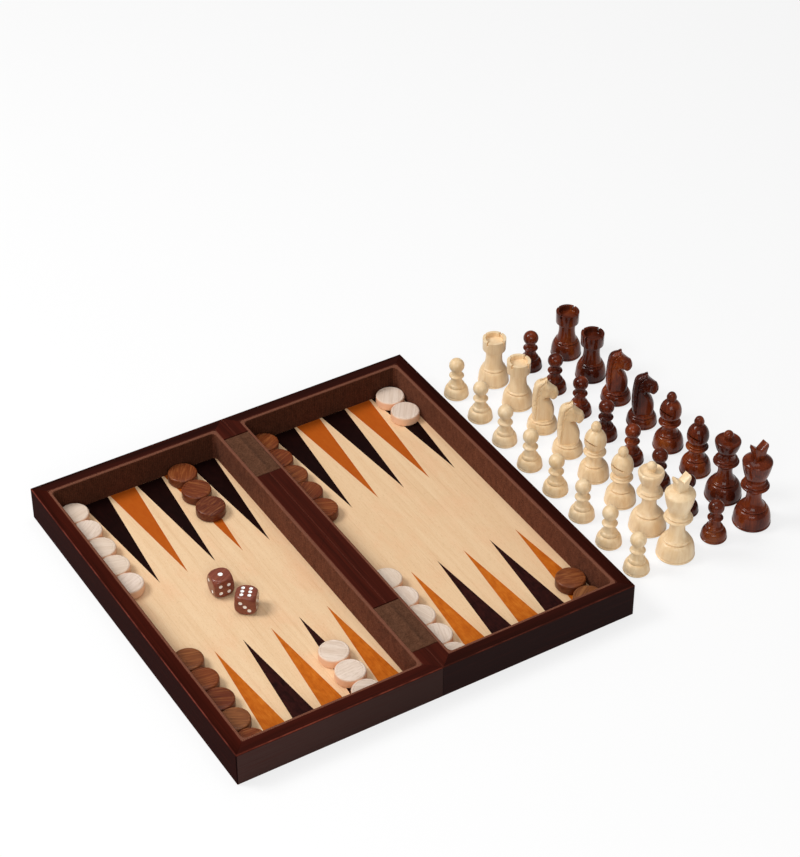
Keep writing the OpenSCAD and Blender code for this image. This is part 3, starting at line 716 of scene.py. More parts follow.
front_patch = lay_patch(-HINGE_Y, "front_hinge_felt")
back_patch = lay_patch(HINGE_Y, "back_hinge_felt")
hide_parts("left_felt_pads", "right_felt_pads")
print("hinge felts:", len(front_patch.data.vertices), "points each")

# %% [markdown]
# ## Turned pieces
#
# Checkers and chessmen are turned on a lathe, so each is one outline spun round an axis. The
# outlines use the same few strokes as a turner's template: a foot, a ring and a shallow bow.
# The corners are eased a little, as sanding does. Each piece also stores its own grain
# coordinates, turned and moved at random, so no two pieces show the same figure.


# %% Draw a turner's outlines
def arc(cx, cy, r, a0, a1, n=10):
    return [(cx + r * math.cos(math.radians(a0 + (a1 - a0) * i / n)),
             cy + r * math.sin(math.radians(a0 + (a1 - a0) * i / n))) for i in range(n + 1)]


def bow(a, b, s, n=14):
    """Points after a up to b, bulging outwards by s on a way that leads up."""
    dx, dy = b[0] - a[0], b[1] - a[1]
    length = math.hypot(dx, dy)
    return [(a[0] + dx * t + dy / length * 4 * s * t * (1 - t),
             a[1] + dy * t - dx / length * 4 * s * t * (1 - t)) for t in (i / n for i in range(1, n + 1))]


def foot(r, top_r, top):
    low, bell = 2.6, r - 0.3
    start = low + 0.4
    dome = [(top_r + (bell - top_r) * math.cos(a), start + (top - low - 0.4) * math.sin(a))
            for a in (math.radians(degrees) for degrees in range(0, 91, 6))]
    return [(0, 0.5), (r - 0.9, 0.5), (r - 0.3, 0.6), (r, 1.0), (r, 2.1), (bell - 0.5, low)] + dome


def ring(r, z, h):
    return [(r, z)] + bow((r, z), (r, z + h), h * 0.45, 9)


def eased(outline, by=0.18):
    """Cuts every corner of the outline short by at most by."""
    soft = [outline[0]]
    for before, here, after in zip(outline, outline[1:], outline[2:]):
        for other in (before, after):
            span = math.dist(here, other)
            share = min(0.25, by / span) if span > 1e-6 else 0
            soft.append((here[0] + (other[0] - here[0]) * share, here[1] + (other[1] - here[1]) * share))
    return soft + [outline[-1]]


def spin(outline, segments=56):
    """Points and faces of the outline spun round z. It starts and ends on the axis."""
    body = [p for p in outline if p[0] > 1e-6]
    rows = [[(r * math.cos(2 * math.pi * k / segments), r * math.sin(2 * math.pi * k / segments), z)
             for k in range(segments)] for r, z in body]
    points, faces = loft(rows, closed_rows=False)
    faces = [f[::-1] for f in faces]
    for z, first, turn in ((outline[0][1], 0, 1), (outline[-1][1], len(points) - segments, -1)):
        points.append((0, 0, z))
        hub = len(points) - 1
        faces += [(hub, first + (k + 1) % segments, first + k)[::turn] for k in range(segments)]
    return points, faces


print("turner's strokes ready")


# %% Store grain coordinates on a piece
def set_grain(piece, seed, along_plane=False, shade=None):
    """Writes where each point would lie in the plank that the piece was cut from, and its own shade."""
    chance = random.Random(seed)
    turn = Matrix.Rotation(chance.uniform(0, 6.283), 3, "Z")
    if along_plane:
        turn = Matrix.Rotation(chance.uniform(-0.15, 0.15), 3, "Y") @ turn
    else:
        turn = Matrix.Rotation(chance.uniform(-0.06, 0.06), 3, "X") @ turn
    shift = Vector([chance.uniform(-4, 4) for _ in range(3)])
    spots = np.array([turn @ v.co + shift for v in piece.data.vertices], np.float32)
    plank = piece.data.attributes.new("plank", "FLOAT_VECTOR", "POINT")
    plank.data.foreach_set("vector", spots.ravel())
    level = chance.random() if shade is None else shade + chance.uniform(-0.12, 0.12)
    shades = piece.data.attributes.new("shade", "FLOAT", "POINT")
    shades.data.foreach_set("value", np.full(len(spots), level, np.float32))


def join(name, copies):
    """Joins finished copies into one piece, in place."""
    with bpy.context.temp_override(active_object=copies[0], object=copies[0],
                                   selected_editable_objects=copies, selected_objects=copies):
        bpy.ops.object.join()
    copies[0].name = copies[0].data.name = name
    return copies[0]


def plank_spot(tree):
    return put(tree, "ShaderNodeAttribute", attribute_name="plank").outputs["Vector"]


def own_shade(tree):
    return put(tree, "ShaderNodeAttribute", attribute_name="shade").outputs["Fac"]


def own_rim(tree):
    return put(tree, "ShaderNodeAttribute", attribute_name="rim").outputs["Fac"]


print("grain store ready")

# %% [markdown]
# ## Checkers
#
# Fifteen checkers are pale and fifteen walnut brown. Each is a thick disc with a rounded rim,
# and a fine turned ring sets its face off from the rim. Their faces show the flat of the
# board, so the grain runs across them. The tone changes from checker to checker.


# %% Mix the checker woods
def pale_checker_wood():
    finish, tree, skin = new_finish("pale_checker_wood", 0.5, ior=1.3)
    spot = plank_spot(tree)
    lines = grain(tree, spot, 0, 1.0, 40, 3, 0.5)
    fibres = grain(tree, spot, 0, 0.28, 7, 3)
    bands = grain(tree, spot, 0, 5, 80, 2)
    wood = mix(tree, step(tree, bands, 0.3, 0.7), "#ecd9ca", "#dfc8b6")
    wood = mix(tree, calc(tree, "MULTIPLY", step(tree, lines, 0.48, 0.62), 0.35), wood, "#c3a68c")
    wood = mix(tree, calc(tree, "MULTIPLY", step(tree, fibres, 0.5, 0.75), 0.35), wood, "#b89a82")
    wood = mix(tree, calc(tree, "MULTIPLY", own_shade(tree), 0.4), wood, "#e2cdb2")
    # Painted light: the sides of the pale checkers are painted a warm peach, as bounce light
    wood = mix(tree, calc(tree, "MULTIPLY", own_rim(tree), 0.8), wood, "#fdc79b")
    wear(tree, skin, wood, fibres, 0.00006, 0.5)
    return finish


def brown_checker_wood():
    finish, tree, skin = new_finish("brown_checker_wood", 0.34, coat=0.05, coat_roughness=0.2, ior=1.3)
    spot = plank_spot(tree)
    lines = grain(tree, spot, 0, 1.6, 45, 4, 0.9)
    pores = grain(tree, spot, 0, 0.25, 3.5, 2)
    wood = colours(tree, lines, (0.34, "#4a1f0d"), (0.5, "#783c1e"), (0.66, "#a5683a"))
    wood = mix(tree, calc(tree, "MULTIPLY", step(tree, pores, 0.56, 0.72), 0.5), wood, "#3d1d10")
    tone = colours(tree, own_shade(tree), (0.0, "#94663f"), (0.4, "#7c4424"), (0.7, "#7c3616"),
                   (1.0, "#54221a"))
    wood = mix(tree, 0.5, wood, tone)
    wood = mix(tree, calc(tree, "MULTIPLY", own_rim(tree), 0.45), wood, "#5a2718")
    wear(tree, skin, wood, pores, 0.00006, 0.5)
    return finish


checker_woods = {"pale": pale_checker_wood(), "brown": brown_checker_wood()}
print("checker woods:", list(checker_woods))

# %% Turn and place the checkers
CHECKER_R, CHECKER_THICK, CHECKER_PITCH = 12.25, 8.5, 24.7
rim = arc(CHECKER_R - 1.6, CHECKER_THICK - 1.6, 1.6, 0, 90, 8)
face = [(10.2, CHECKER_THICK), (10.05, CHECKER_THICK - 0.16), (9.8, CHECKER_THICK - 0.18),
        (9.6, CHECKER_THICK - 0.08), (8.6, CHECKER_THICK - 0.06), (0, CHECKER_THICK - 0.06)]
half_outline = arc(CHECKER_R - 1.6, 1.6, 1.6, -90, 0, 8)
checker_outline = [(0, 0), (9.0, 0)] + half_outline + rim + face


# Shade of each checker, counted from the wall: 0 is the palest plank, 1 the deepest
ROW_SHADES = {"pale_stack_left_back": (0.6, 0.3, 0.8, 0.7, 0.1), "pale_stack_left_front": (0.2, 0.4, 0.3),
              "pale_stack_right_front": (0.5, 0.2, 0.6, 0.3, 0.8), "pale_stack_right_back": (0.4, 0.2),
              "brown_stack_left_back": (0.6, 0.85, 1.0), "brown_stack_right_back": (0.5, 0.7, 0.4, 0.8, 0.6),
              "brown_stack_left_front": (0.75, 0.15, 0.8, 0.6, 0.2), "brown_stack_right_front": (0.2, 0.45)}


def row_of_checkers(name, seed):
    """Checkers stand where the CAD row has them, in from the wall at one pitch."""
    low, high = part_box(name)
    middle_x = (low.x + high.x) / 2
    count = round((high.y - low.y) / (CHECKER_PITCH * MM))
    copies = []
    for k in range(count):
        points, faces = spin(checker_outline, 64)
        copy = new_piece(f"{name}_{k}", points, faces, [checker_woods[name.split("_")[0]]])
        set_grain(copy, seed * 31 + k, along_plane=True, shade=ROW_SHADES[name][k])
        # The rim share is 0 on the face and 1 down the side; the pale checkers carry painted light on it
        rims = [max(0, min(1, (CHECKER_THICK - 0.2 - v.co.z / MM) / 1.2)) for v in copy.data.vertices]
        copy.data.attributes.new("rim", "FLOAT", "POINT").data.foreach_set("value", rims)
        from_wall = (CHECKER_R + k * CHECKER_PITCH) * MM
        y = high.y - from_wall if high.y > 0 else low.y + from_wall
        copy.data.transform(Matrix.Translation((middle_x, y, FLOOR * MM)))
        copies.append(copy)
    row = join(name.replace("stack", "checkers"), copies)
    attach(row, name.replace("stack", "checkers"))
    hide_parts(name)
    return row


stacks = sorted(n for n in nodes if "_stack_" in n)
checker_rows = [row_of_checkers(name, i) for i, name in enumerate(stacks)]
print("rows of checkers:", len(checker_rows))

# %% [markdown]
# ## Dice
#
# The dice are brown, with white spots in shallow hollows. Cheap dice are tumbled, which turns
# a cube's edges and corners down towards a ball. Here each point lies at a soft minimum of
# its distances to the cube's faces and to the ball. Near each spot the surface dips, and
# the distance to the spot's rim is stored, so the paint has a crisp round edge.

# %% Measure the dice
DIE, BALL_R, SPOT_R, ONE_R = 17.2, 11.9, 1.55, 2.05
AT, ROW, END = 3.4, 3.1, 4.0
SPOTS = {1: [(0, 0)], 2: [(AT, AT), (-AT, -AT)], 3: [(-AT, AT), (0, 0), (AT, -AT)],
         4: [(AT, AT), (AT, -AT), (-AT, AT), (-AT, -AT)],
         5: [(AT, AT), (AT, -AT), (-AT, AT), (-AT, -AT), (0, 0)],
         6: [(row * ROW, end * END) for row in (1, -1) for end in (1, 0, -1)]}
FACE_TURNS = {1: (0, 0), 2: (-90, 1), 3: (-90, 0), 4: (90, 0), 5: (90, 1), 6: (180, 0)}
print("spots on a die:", sum(len(s) for s in SPOTS.values()))


# %% Shape a die
def die_mesh(name, finish):
    steps, half, sharpness = 60, DIE / 2, 22
    work = bmesh.new()
    rim_layer = work.verts.layers.float.new("spot")
    for value, (degrees, axis) in FACE_TURNS.items():
        turn = Matrix.Rotation(math.radians(degrees), 3, "XY"[axis])
        grid = []
        for j in range(steps + 1):
            for i in range(steps + 1):
                u, v = (math.tan(math.pi / 4 * (2 * k / steps - 1)) for k in (i, j))
                out = Vector((u, v, 1)).normalized()
                blend = sum((abs(c) / half) ** sharpness for c in out) + BALL_R ** -sharpness
                place = out / blend ** (1 / sharpness)
                inside = -1.0
                for sx, sy in SPOTS[value]:
                    radius = ONE_R if value == 1 else SPOT_R
                    away = math.hypot(place.x - sx, place.y - sy)
                    inside = max(inside, radius - away)
                    if away < radius:
                        place.z -= 0.4 * (1 - (away / radius) ** 2)
                vert = work.verts.new(turn @ place * MM)
                vert[rim_layer] = inside
                grid.append(vert)
        for j in range(steps):
            for i in range(steps):
                k = j * (steps + 1) + i
                work.faces.new((grid[k], grid[k + 1], grid[k + steps + 2], grid[k + steps + 1]))
    bmesh.ops.remove_doubles(work, verts=work.verts, dist=0.00001)
    bmesh.ops.recalc_face_normals(work, faces=work.faces)
    mesh = bpy.data.meshes.new(name)
    work.to_mesh(mesh)
    work.free()
    mesh.shade_smooth()
    mesh.materials.append(finish)
    die = bpy.data.objects.new(name, mesh)
    bpy.context.scene.collection.objects.link(die)
    return die


def die_wood():
    finish, tree, skin = new_finish("dice_wood", 0.28, coat=0.15, coat_roughness=0.1, specular=0.35)
    spot = plank_spot(tree)
    lines = grain(tree, spot, 0, 1.4, 40, 3, 0.6)
    fibres = grain(tree, spot, 0, 0.25, 8, 2)
    wood = colours(tree, lines, (0.34, "#76392a"), (0.5, "#824231"), (0.66, "#8a4b36"))
    wood = mix(tree, calc(tree, "MULTIPLY", step(tree, fibres, 0.55, 0.75), 0.2), wood, "#6a2f1e")
    inside = put(tree, "ShaderNodeAttribute", attribute_name="spot").outputs["Fac"]
    shadow = calc(tree, "MULTIPLY", step(tree, inside, -0.25, 0.0), 0.35)
    wood = mix(tree, shadow, wood, "#4a3a44")
    wood = mix(tree, step(tree, inside, -0.02, 0.12), wood, "#fffdf9")
    wear(tree, skin, wood, fibres, 0.00003, 0.3)
    return finish


print("die shape ready")

# %% Place the dice
die_finish = die_wood()
DICE = {"one": ((-87.75, 12.3), -5, 0), "two": ((-80.05, -15.8), -38, 180)}
for which, ((x, y), turn, flip) in DICE.items():
    die = die_mesh(f"wooden_die_{which}", die_finish)
    set_grain(die, 70 + turn)
    pose = Matrix.Rotation(math.radians(turn), 4, "Z") @ Matrix.Rotation(math.radians(flip), 4, "X")
    die.data.transform(Matrix.Translation((x * MM, y * MM, (FLOOR + DIE / 2) * MM)) @ pose)
    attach(die, "first_die" if which == "one" else "second_die")
    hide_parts(f"die_{which}", f"die_{which}_pips")
    print("die", which, "points:", len(die.data.vertices))

# %% [markdown]
# ## Chessmen
#
# The men are a plain club pattern. Pawns, rooks, bishops, queens and kings are turned, and
# then sawn: a slanting slot for the bishop, notches for the rook, a forked block for the
# king. A boolean modifier does the sawing, and its result is kept as the mesh. Green felt
# closes the foot, so the lowest half millimetre is a second finish.


# %% Mix the finishes of the men
def light_man_wood():
    finish, tree, skin = new_finish("light_man_wood", 0.36, coat=0.1, coat_roughness=0.15, specular=0.3)
    spot = plank_spot(tree)
    bands = grain(tree, spot, 2, 4, 60, 3, 0.6)
    fibres = grain(tree, spot, 2, 0.3, 9, 3)
    clouds = mottle(tree, spot, (70, 70, 40), 3)
    wood = mix(tree, step(tree, bands, 0.3, 0.7), "#f8dcb2", "#ebc795")
    wood = mix(tree, calc(tree, "MULTIPLY", step(tree, clouds, 0.5, 0.75), 0.35), wood, "#d8b07c")
    wood = mix(tree, calc(tree, "MULTIPLY", step(tree, fibres, 0.5, 0.75), 0.25), wood, "#c89c68")
    wood = mix(tree, calc(tree, "MULTIPLY", own_shade(tree), 0.2), wood, "#f9e6c8")
    wear(tree, skin, wood, fibres, 0.00004, 0.4)
    return finish


def dark_man_wood():
    finish, tree, skin = new_finish("dark_man_wood", 0.25, coat=0.4, coat_roughness=0.05, ior=1.12)
    spot = plank_spot(tree)
    clouds = mottle(tree, spot, (42, 42, 26), 3, 0.5, 0.5)
    lines = grain(tree, spot, 2, 1.2, 30, 4, 0.8)
    figure = calc(tree, "ADD", calc(tree, "MULTIPLY", clouds, 0.75), calc(tree, "MULTIPLY", lines, 0.25))
    wood = colours(tree, figure, (0.38, "#380f08"), (0.48, "#5e230f"), (0.56, "#803517"), (0.66, "#9e5020"))
    wood = mix(tree, calc(tree, "MULTIPLY", own_shade(tree), 0.5), wood, "#32140e")
    wear(tree, skin, wood, lines, 0.00003, 0.25)
    return finish


man_woods = {"light": light_man_wood(), "dark": dark_man_wood()}
green_felt = felt("green_base_felt", "#0f5a34", "#1d7a49")
print("finishes of the men:", list(man_woods), green_felt.name)


# %% Draw the outlines of the men
def outline_of(kind):
    if kind == "pawn":
        return (foot(10.8, 7.2, 9.8) + [(7, 10.2)] + bow((7, 10.2), (6.5, 13), 0.4) + [(5.7, 13.6)]
                + bow((5.7, 13.6), (4.7, 19.6), -0.4) + ring(5.4, 19.8, 2.4) + [(4.6, 22.6)]
                + arc(0, 31.4, 6.6, -58, 90, 26))
    if kind == "rook":
        return (foot(13.5, 9.6, 15) + ring(9.3, 15, 1.8) + [(8.8, 17.2)] + bow((8.8, 17.2), (7.4, 31.8), -0.9)
                + bow((7.4, 31.8), (10, 35), -0.7) + [(10.2, 46), (7.6, 46), (7.6, 41.8), (0, 41.8)])
    if kind == "bishop":
        return (foot(13.2, 8.6, 14) + ring(8.3, 14, 1.6) + [(7.6, 16)] + bow((7.6, 16), (5.9, 21.4), -0.5)
                + bow((5.9, 21.4), (8.2, 24.6), -0.6) + ring(8.5, 24.8, 2.3) + ring(7.5, 27.4, 1.7)
                + [(6.2, 29.5)]
                + bow((6.2, 29.5), (9.2, 38.5), 1.1) + bow((9.2, 38.5), (3.7, 48.5), 1.3)
                + bow((3.4, 48.9), (3.6, 53.9), 0.8) + bow((3.6, 53.9), (0, 56.5), 0.8))
    if kind == "queen":
        return (foot(15.5, 10.2, 15.8) + ring(9.9, 15.8, 1.8) + [(9.2, 18)]
                + bow((9.2, 18), (6.2, 30.4), -1.4) + bow((6.2, 30.4), (9.4, 35.3), -0.8)
                + ring(9.7, 35.5, 2.5) + ring(8.7, 38.4, 1.9) + [(7.4, 40.9)]
                + bow((7.4, 40.9), (7.2, 45.8), -0.4) + bow((7.2, 45.8), (10.7, 56.3), 0.5)
                + bow((10.7, 56.3), (9.3, 58.9), 0.6) + bow((9.3, 58.9), (3.2, 58.5), -0.9)
                + arc(0, 63.3, 4.1, -38, 90, 18))
    if kind == "king":
        return (foot(15.7, 10.8, 15.8) + ring(10.5, 15.8, 1.9) + [(9.7, 18)] + bow((9.7, 18), (6.6, 32), -1.6)
                + bow((6.6, 32), (10.3, 36.8), -0.8) + ring(10.6, 37, 2.6) + ring(9.5, 40, 2) + [(8.3, 42.6)]
                + bow((8.3, 42.6), (8.5, 46), -0.4) + bow((8.5, 46), (12.2, 61), 0.5)
                + bow((12.2, 61), (11.4, 63.7), 0.5) + bow((11.4, 63.7), (4.5, 66.5), 0.5) + [(0, 66.5)])
    return foot(13.2, 10.2, 9.6) + ring(9.9, 9.6, 1.7) + [(9.2, 11.7), (9.2, 12.6), (0, 12.6)]


for kind in ("pawn", "rook", "bishop", "queen", "king", "knight"):
    print(kind, "outline points:", len(outline_of(kind)))


# %% Saw a piece
def block(size, place, turn=(0, 0, 0), radius=0.0):
    """A box with softened edges, in mm."""
    work = bmesh.new()
    bmesh.ops.create_cube(work, size=1)
    bmesh.ops.scale(work, vec=Vector(size) * MM, verts=work.verts)
    if radius:
        bmesh.ops.bevel(work, geom=list(work.edges), offset=radius * MM, segments=3, profile=0.5,
                        affect="EDGES")
    mesh = bpy.data.meshes.new("block")
    work.to_mesh(mesh)
    work.free()
    made = bpy.data.objects.new("block", mesh)
    bpy.context.scene.collection.objects.link(made)
    turned = Matrix.Rotation(math.radians(turn[2]), 4, "Z") @ Matrix.Rotation(math.radians(turn[1]), 4, "Y")
    mesh.transform(Matrix.Translation(Vector(place) * MM) @ turned)
    return made


def saw(piece, tools):
    """Cuts with each tool, keeps the result as the mesh and throws the tools away."""
    for tool in tools:
        cut = piece.modifiers.new("saw", "BOOLEAN")
        cut.operation, cut.object, cut.solver = "DIFFERENCE", tool, "EXACT"
    bpy.context.view_layer.update()
    result = bpy.data.meshes.new_from_object(piece.evaluated_get(bpy.context.evaluated_depsgraph_get()))
    piece.modifiers.clear()
    piece.data = result
    for tool in tools:
        bpy.data.objects.remove(tool)
    result.shade_smooth()
    result.set_sharp_from_angle(angle=math.radians(35))
    return piece


print("saw ready")


# %% Make the king's forked block
def fork_block():
    top = 80.0
    half_plan = [(4.7, 65.4), (4.9, 69.5)] + bow((4.9, 69.5), (7.0, top - 3), -0.35, 6) + [(6.4, top)]
    plan = half_plan + [(0, top - 5.5)] + [(-x, z) for x, z in reversed(half_plan)]
    work = bmesh.new()
    front = [work.verts.new((x * MM, -3.9 * MM, z * MM)) for x, z in plan]
    work.faces.new(front)
    grown = bmesh.ops.extrude_face_region(work, geom=list(work.faces))
    grown_points = [g for g in grown["geom"] if isinstance(g, bmesh.types.BMVert)]
    bmesh.ops.translate(work, vec=(0, 7.8 * MM, 0), verts=grown_points)
    bmesh.ops.recalc_face_normals(work, faces=work.faces)
    long_edges = [e for e in work.edges if e.calc_face_angle(0) > math.radians(30)]
    bmesh.ops.bevel(work, geom=long_edges, offset=0.55 * MM, segments=3, profile=0.5, affect="EDGES",
                    clamp_overlap=True)
    mesh = bpy.data.meshes.new("fork")
    work.to_mesh(mesh)
    work.free()
    mesh.shade_smooth()
    mesh.set_sharp_from_angle(angle=math.radians(35))
    made = bpy.data.objects.new("fork", mesh)
    bpy.context.scene.collection.objects.link(made)
    return made


print("fork ready")

# %% [markdown]
# ## The knight's head
#
# The knight is carved from a flat block, so it is nearly the same thickness all over, with
# rounded edges. Its outline is filled with small triangles, and each point is raised by a
# rule: a rounded rise near the outline, then a nearly flat cheek. The eye, the jaw, the
# nostril and the mane are added to that height. The two sides are mirror images.

# %% Draw the horse's outline
H = 53.0
horse = ([(-8.8, 8.0), (8.6, 8.0), (8.4, 11.4)] + bow((8.4, 11.4), (6.9, 27.5), 1.9, 26)
         + bow((6.9, 27.5), (1.6, H - 19.5), 0.2, 12) + bow((1.6, H - 19.5), (3.4, H - 18.9), -0.2, 4)
         + bow((3.4, H - 18.9), (8.4, H - 21.8), 0.3, 9) + bow((8.4, H - 21.8), (12.6, H - 17), 0.8, 10)
         + bow((12.6, H - 17), (11, H - 11.5), 0.4, 10) + bow((11, H - 11.5), (3.2, H - 4.2), -0.5, 16)
         + bow((3.2, H - 4.2), (2.4, H - 0.1), 0.2, 7) + bow((2.4, H - 0.1), (-0.6, H - 2.4), 0.1, 6)
         + bow((-0.6, H - 2.4), (-8.4, H - 10), 2, 18) + bow((-8.4, H - 10), (-8.6, 11.4), 1.1, 44)
         + bow((-8.6, 11.4), (-8.8, 8.0), 0, 5)[:-1])
print("horse outline points:", len(horse))


# %% Carve the head
def edge_distance(spots, outline):
    """Distance of many points to a closed outline."""
    best = np.full(len(spots), 1e9)
    for a, b in zip(outline, outline[1:] + outline[:1]):
        a, b = np.array(a), np.array(b)
        along = np.clip(((spots - a) @ (b - a)) / max((b - a) @ (b - a), 1e-9), 0, 1)
        best = np.minimum(best, np.linalg.norm(spots - a - along[:, None] * (b - a), axis=1))
    return best


def inside(spot, outline):
    hit, (x, z) = False, spot
    for (x0, z0), (x1, z1) in zip(outline, outline[1:] + outline[:1]):
        if (z0 > z) != (z1 > z) and x < x0 + (z - z0) / (z1 - z0) * (x1 - x0):
            hit = not hit
    return hit


def dent(spots, place, radius, depth):
    """A smooth hollow, or a bump where depth is negative."""
    away = np.linalg.norm(spots - np.array(place), axis=1) / radius
    return -depth * np.clip(1 - away ** 2, 0, 1) ** 2


def groove(spots, way, width, depth):
    """A groove of round section along a line of points."""
    away = edge_distance(spots, list(way) + list(way)[-2:0:-1]) / width
    return -depth * np.clip(1 - away ** 2, 0, 1)


def head_height(spots, away):
    """Half the thickness of the head at each point of its side view, in mm."""
    x, z = spots[:, 0], spots[:, 1]
    width = np.interp(z, [8, 11.4, 22, H - 20, H - 8, H + 1], [7.6, 7.4, 6.5, 5.6, 4.7, 2.9])
    width = width - np.clip(x - 4, 0, 9) * 0.17
    rise = np.clip(away / np.interp(z, [8, 20, 36, H], [3.4, 3.2, 2.8, 2.2]), 0, 1)
    height = width * (1 - (1 - rise) ** 2.4) ** (1 / 2.4)
    deep = np.clip(away / 1.2, 0, 1)
    height += deep * dent(spots, (2.9, H - 9.6), 2.3, -0.55)
    height += deep * dent(spots, (2.9, H - 9.6), 1.25, 0.9)
    height += deep * dent(spots, (2.9, H - 9.6), 0.7, -0.75)
    height += deep * dent(spots, (10.7, H - 15.4), 1.0, 0.8)
    height += deep * groove(spots, [(12.6, H - 18.6), (10.4, H - 18.1), (8.6, H - 18.6)], 0.55, 0.8)
    height += deep * dent(spots, (1.8, H - 15.8), 5.2, -0.7)
    height += deep * groove(spots, arc(1.8, H - 15.8, 5.4, -80, 40, 12), 0.8, 0.5)
    height += deep * groove(spots, [(8.2, H - 12.0), (5.8, H - 13.8), (5.6, H - 17.0)], 0.9, 0.35)
    mane = [(0.2, H - 4.5), (-3.6, H - 8), (-5.2, H - 14), (-5.6, H - 22), (-5.9, H - 31), (-6.2, 14)]
    height += deep * groove(spots, mane, 0.6, 0.75)
    for k in range(7):
        lock_x = -1.6 - 0.55 * k if k < 3 else -5.3 - 0.12 * k
        a = np.array((lock_x, H - 6.2 - 4.6 * k))
        if a[1] > 15:
            height += deep * groove(spots, [tuple(a), tuple(a + (-3.2, -2.8))], 0.55, 0.5)
    height += deep * groove(spots, [(1.1, H - 4.8), (1.4, H - 1.5)], 0.6, 0.7)
    return np.maximum(height, 0)


def knight_head():
    outline = horse
    spacing = 0.55
    rng = random.Random(4)
    grid = []
    xs, zs = [p[0] for p in outline], [p[1] for p in outline]
    rows = int((max(zs) - min(zs)) / spacing)
    for j in range(rows):
        z = min(zs) + (j + 0.5) * spacing
        for i in range(int((max(xs) - min(xs)) / spacing) + 1):
            x = min(xs) + (i + 0.5 * (j % 2)) * spacing + rng.uniform(-0.03, 0.03)
            if inside((x, z), outline):
                grid.append((x, z))
    away = edge_distance(np.array(grid), outline)
    grid = [p for p, d in zip(grid, away) if d > 0.28]
    spots = [Vector(p) for p in outline + grid]
    ring_edges = [(k, (k + 1) % len(outline)) for k in range(len(outline))]
    verts, _, tris, *_ = delaunay_2d_cdt(spots, ring_edges, [], 1, 1e-5)
    flat = np.array([(v.x, v.y) for v in verts])
    height = head_height(flat, edge_distance(flat, outline))
    height[edge_distance(flat, outline) < 1e-3] = 0
    points, names = [], {}
    for sign in (-1, 1):
        for k, ((x, z), h) in enumerate(zip(flat, height)):
            if h <= 0 and sign > 0:
                names[(sign, k)] = names[(-1, k)]
                continue
            names[(sign, k)] = len(points)
            points.append((x, sign * h, z))
    faces = []
    for tri in tris:
        a, b, c = (tuple(flat[k]) for k in tri)
        if (b[0] - a[0]) * (c[1] - a[1]) - (b[1] - a[1]) * (c[0] - a[0]) < 0:
            tri = tri[::-1]
        faces.append(tuple(names[(-1, k)] for k in tri))
        back = tuple(names[(1, k)] for k in tri[::-1])
        if len(set(back)) == 3 and set(back) != set(faces[-1]):
            faces.append(back)
    head = new_piece("head", points, faces, [], 60)
    return head


sample = knight_head()
print("knight's head:", len(sample.data.vertices), "points,", len(sample.data.polygons), "faces")
bpy.data.objects.remove(sample)


# %% Make one man of each kind
def felt_disc(radius):
    return spin([(0, 0), (radius - 1.3, 0), (radius - 1.0, 0.12), (radius - 1.0, 0.52), (0, 0.52)], 56)


def whole_man(kind, wood):
    outline = outline_of(kind)
    radius = max(p[0] for p in outline)
    points, faces = spin(eased(outline))
    man = new_piece(kind, points, faces, [wood])
    if kind == "rook":
        saw(man, [block((24, 1.5, 3.6), (0, 0, 44.3), (0, 0, turn + 20)) for turn in (0, 90)])
    if kind == "bishop":
        saw(man, [block((12, 22, 1.2), (-9.5, 0, 40.5), (0, 28, 0))])
    extra = [fork_block()] if kind == "king" else [knight_head()] if kind == "knight" else []
    if kind == "knight":
        saw(extra[0], [block((12, 1.2, 7), (-0.4, 0, H - 0.6), (0, 0, 0), 0.3)])
    for part in extra:
        part.data.materials.clear()
        part.data.materials.append(wood)
    disc = new_piece("disc", *felt_disc(radius), [green_felt])
    return join(kind, [man] + extra + [disc])


# Column, counted away from the box's right side, and rows of each kind
MEN = {"pawn": (0, range(8)), "king": (1, [0]), "queen": (1, [1]), "bishop": (1, [2, 3]),
       "knight": (1, [4, 5]), "rook": (1, [6, 7])}
MEN_X, MEN_PITCH = HALF + 13, 38


def set_of_men(tone, kind, seed):
    column, rows = MEN[kind]
    column += 2 if tone == "dark" else 0
    pattern = whole_man(kind, man_woods[tone])
    copies = []
    for row in rows:
        copy = pattern.copy()
        copy.data = pattern.data.copy()
        bpy.context.scene.collection.objects.link(copy)
        set_grain(copy, seed * 17 + row)
        place = Vector((MEN_X + MEN_PITCH * (column + 0.5), (row - 3.5) * MEN_PITCH, 0)) * MM
        turn = -30 if kind == "knight" else 0
        copy.data.transform(Matrix.Translation(place) @ Matrix.Rotation(math.radians(turn), 4, "Z"))
        copies.append(copy)
    bpy.data.objects.remove(pattern)
    name = f"{tone}_{kind}" + ("" if kind in ("king", "queen") else "s")
    men = join("turned_" + name, copies)
    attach(men, "chess_" + name)
    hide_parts(name)
    return men


# %% Set up both armies
armies = [set_of_men(tone, kind, 100 * (tone == "dark") + i)
          for tone in ("light", "dark") for i, kind in enumerate(MEN)]
print("groups of men:", len(armies), "points:", sum(len(a.data.vertices) for a in armies))

# %% [markdown]
# ## Table and light
#
# The photograph is a studio picture on white. A wide pale table carries the shadows. The
# camera and the gloss see it nearly white. The matte surfaces are lit by a dimmer, even sky
# and by soft boxes, so a colour renders about as it was painted. The main soft box hangs at
# the upper left, because the shadows in the photograph fall to the right.


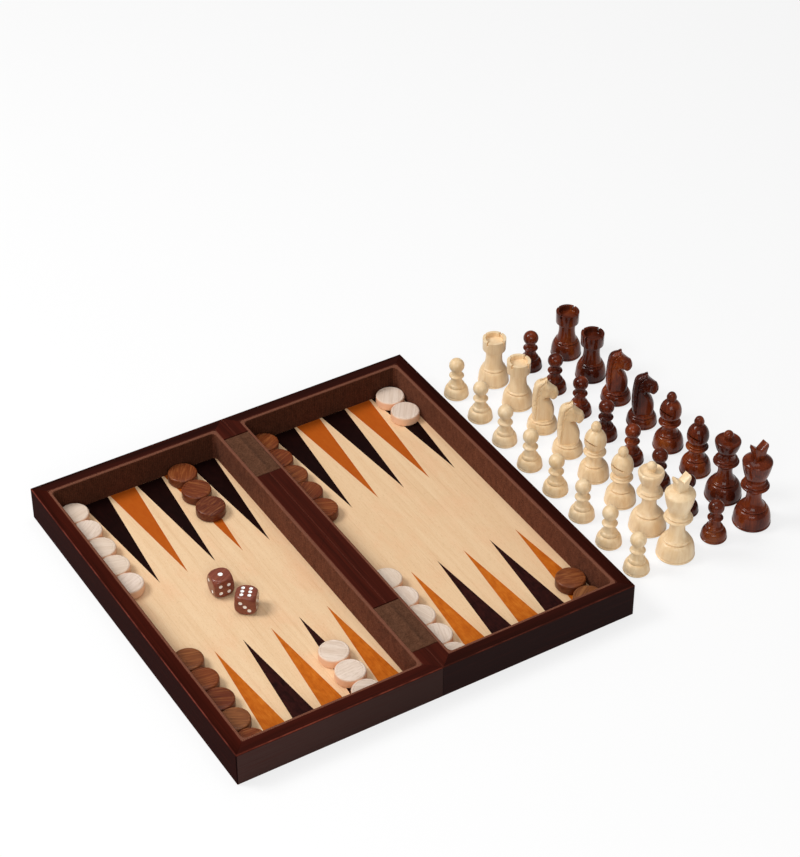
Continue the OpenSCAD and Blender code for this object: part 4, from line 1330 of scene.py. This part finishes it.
# %% Lay the table
def table():
    finish, tree, skin = new_finish("white_table", 0.9, specular=0.1)
    skin.inputs["Base Color"].default_value = (0.95, 0.95, 0.95, 1)
    rays = put(tree, "ShaderNodeLightPath")
    seen = calc(tree, "MAXIMUM", rays.outputs["Is Camera Ray"],
                calc(tree, "MAXIMUM", rays.outputs["Is Glossy Ray"], rays.outputs["Is Transmission Ray"]))
    white = put(tree, "ShaderNodeEmission", {"Color": (1, 1, 1, 1), "Strength": 1.0})
    share = calc(tree, "MULTIPLY", seen, 0.75)
    both = put(tree, "ShaderNodeMixShader", {0: share, 1: skin.outputs[0], 2: white.outputs[0]})
    tree.links.new(both.outputs[0], tree.nodes["Material Output"].inputs["Surface"])
    mesh = bpy.data.meshes.new("table_top")
    size = 8.0
    corners = [(-size, -size, 0), (size, -size, 0), (size, size, 0), (-size, size, 0)]
    mesh.from_pydata(corners, [], [(0, 1, 2, 3)])
    mesh.materials.append(finish)
    top = bpy.data.objects.new("table_top", mesh)
    bpy.context.scene.collection.objects.link(top)
    top.location.z = -0.0002
    return top


table()
print("table laid")


# %% Hang the soft boxes
def soft_box(name, place, aim, size, power):
    data = bpy.data.lights.new(name, "AREA")
    data.shape, data.size, data.size_y = "RECTANGLE", size[0], size[1]
    data.energy = power
    lamp = bpy.data.objects.new(name, data)
    bpy.context.scene.collection.objects.link(lamp)
    lamp.location = place
    lamp.rotation_euler = (Vector(aim) - Vector(place)).to_track_quat("-Z", "Y").to_euler()
    return lamp


middle = (0.08, 0.0, 0.0)
soft_box("main_box", (-1.15, 0.75, 1.75), middle, (0.8, 0.8), 29)
soft_box("front_box", (-0.8, -1.5, 1.1), middle, (1.2, 0.8), 13)
soft_box("top_box", (0.2, 0.3, 2.2), middle, (1.2, 1.2), 10)

world = bpy.data.worlds.new("studio")
bpy.context.scene.world = world
world.use_nodes = True
sky = world.node_tree
backing = sky.nodes["Background"]
backing.inputs["Color"].default_value = (1, 1, 1, 1)
backing.inputs["Strength"].default_value = 0.24
bpy.context.scene.view_settings.view_transform = "Standard"
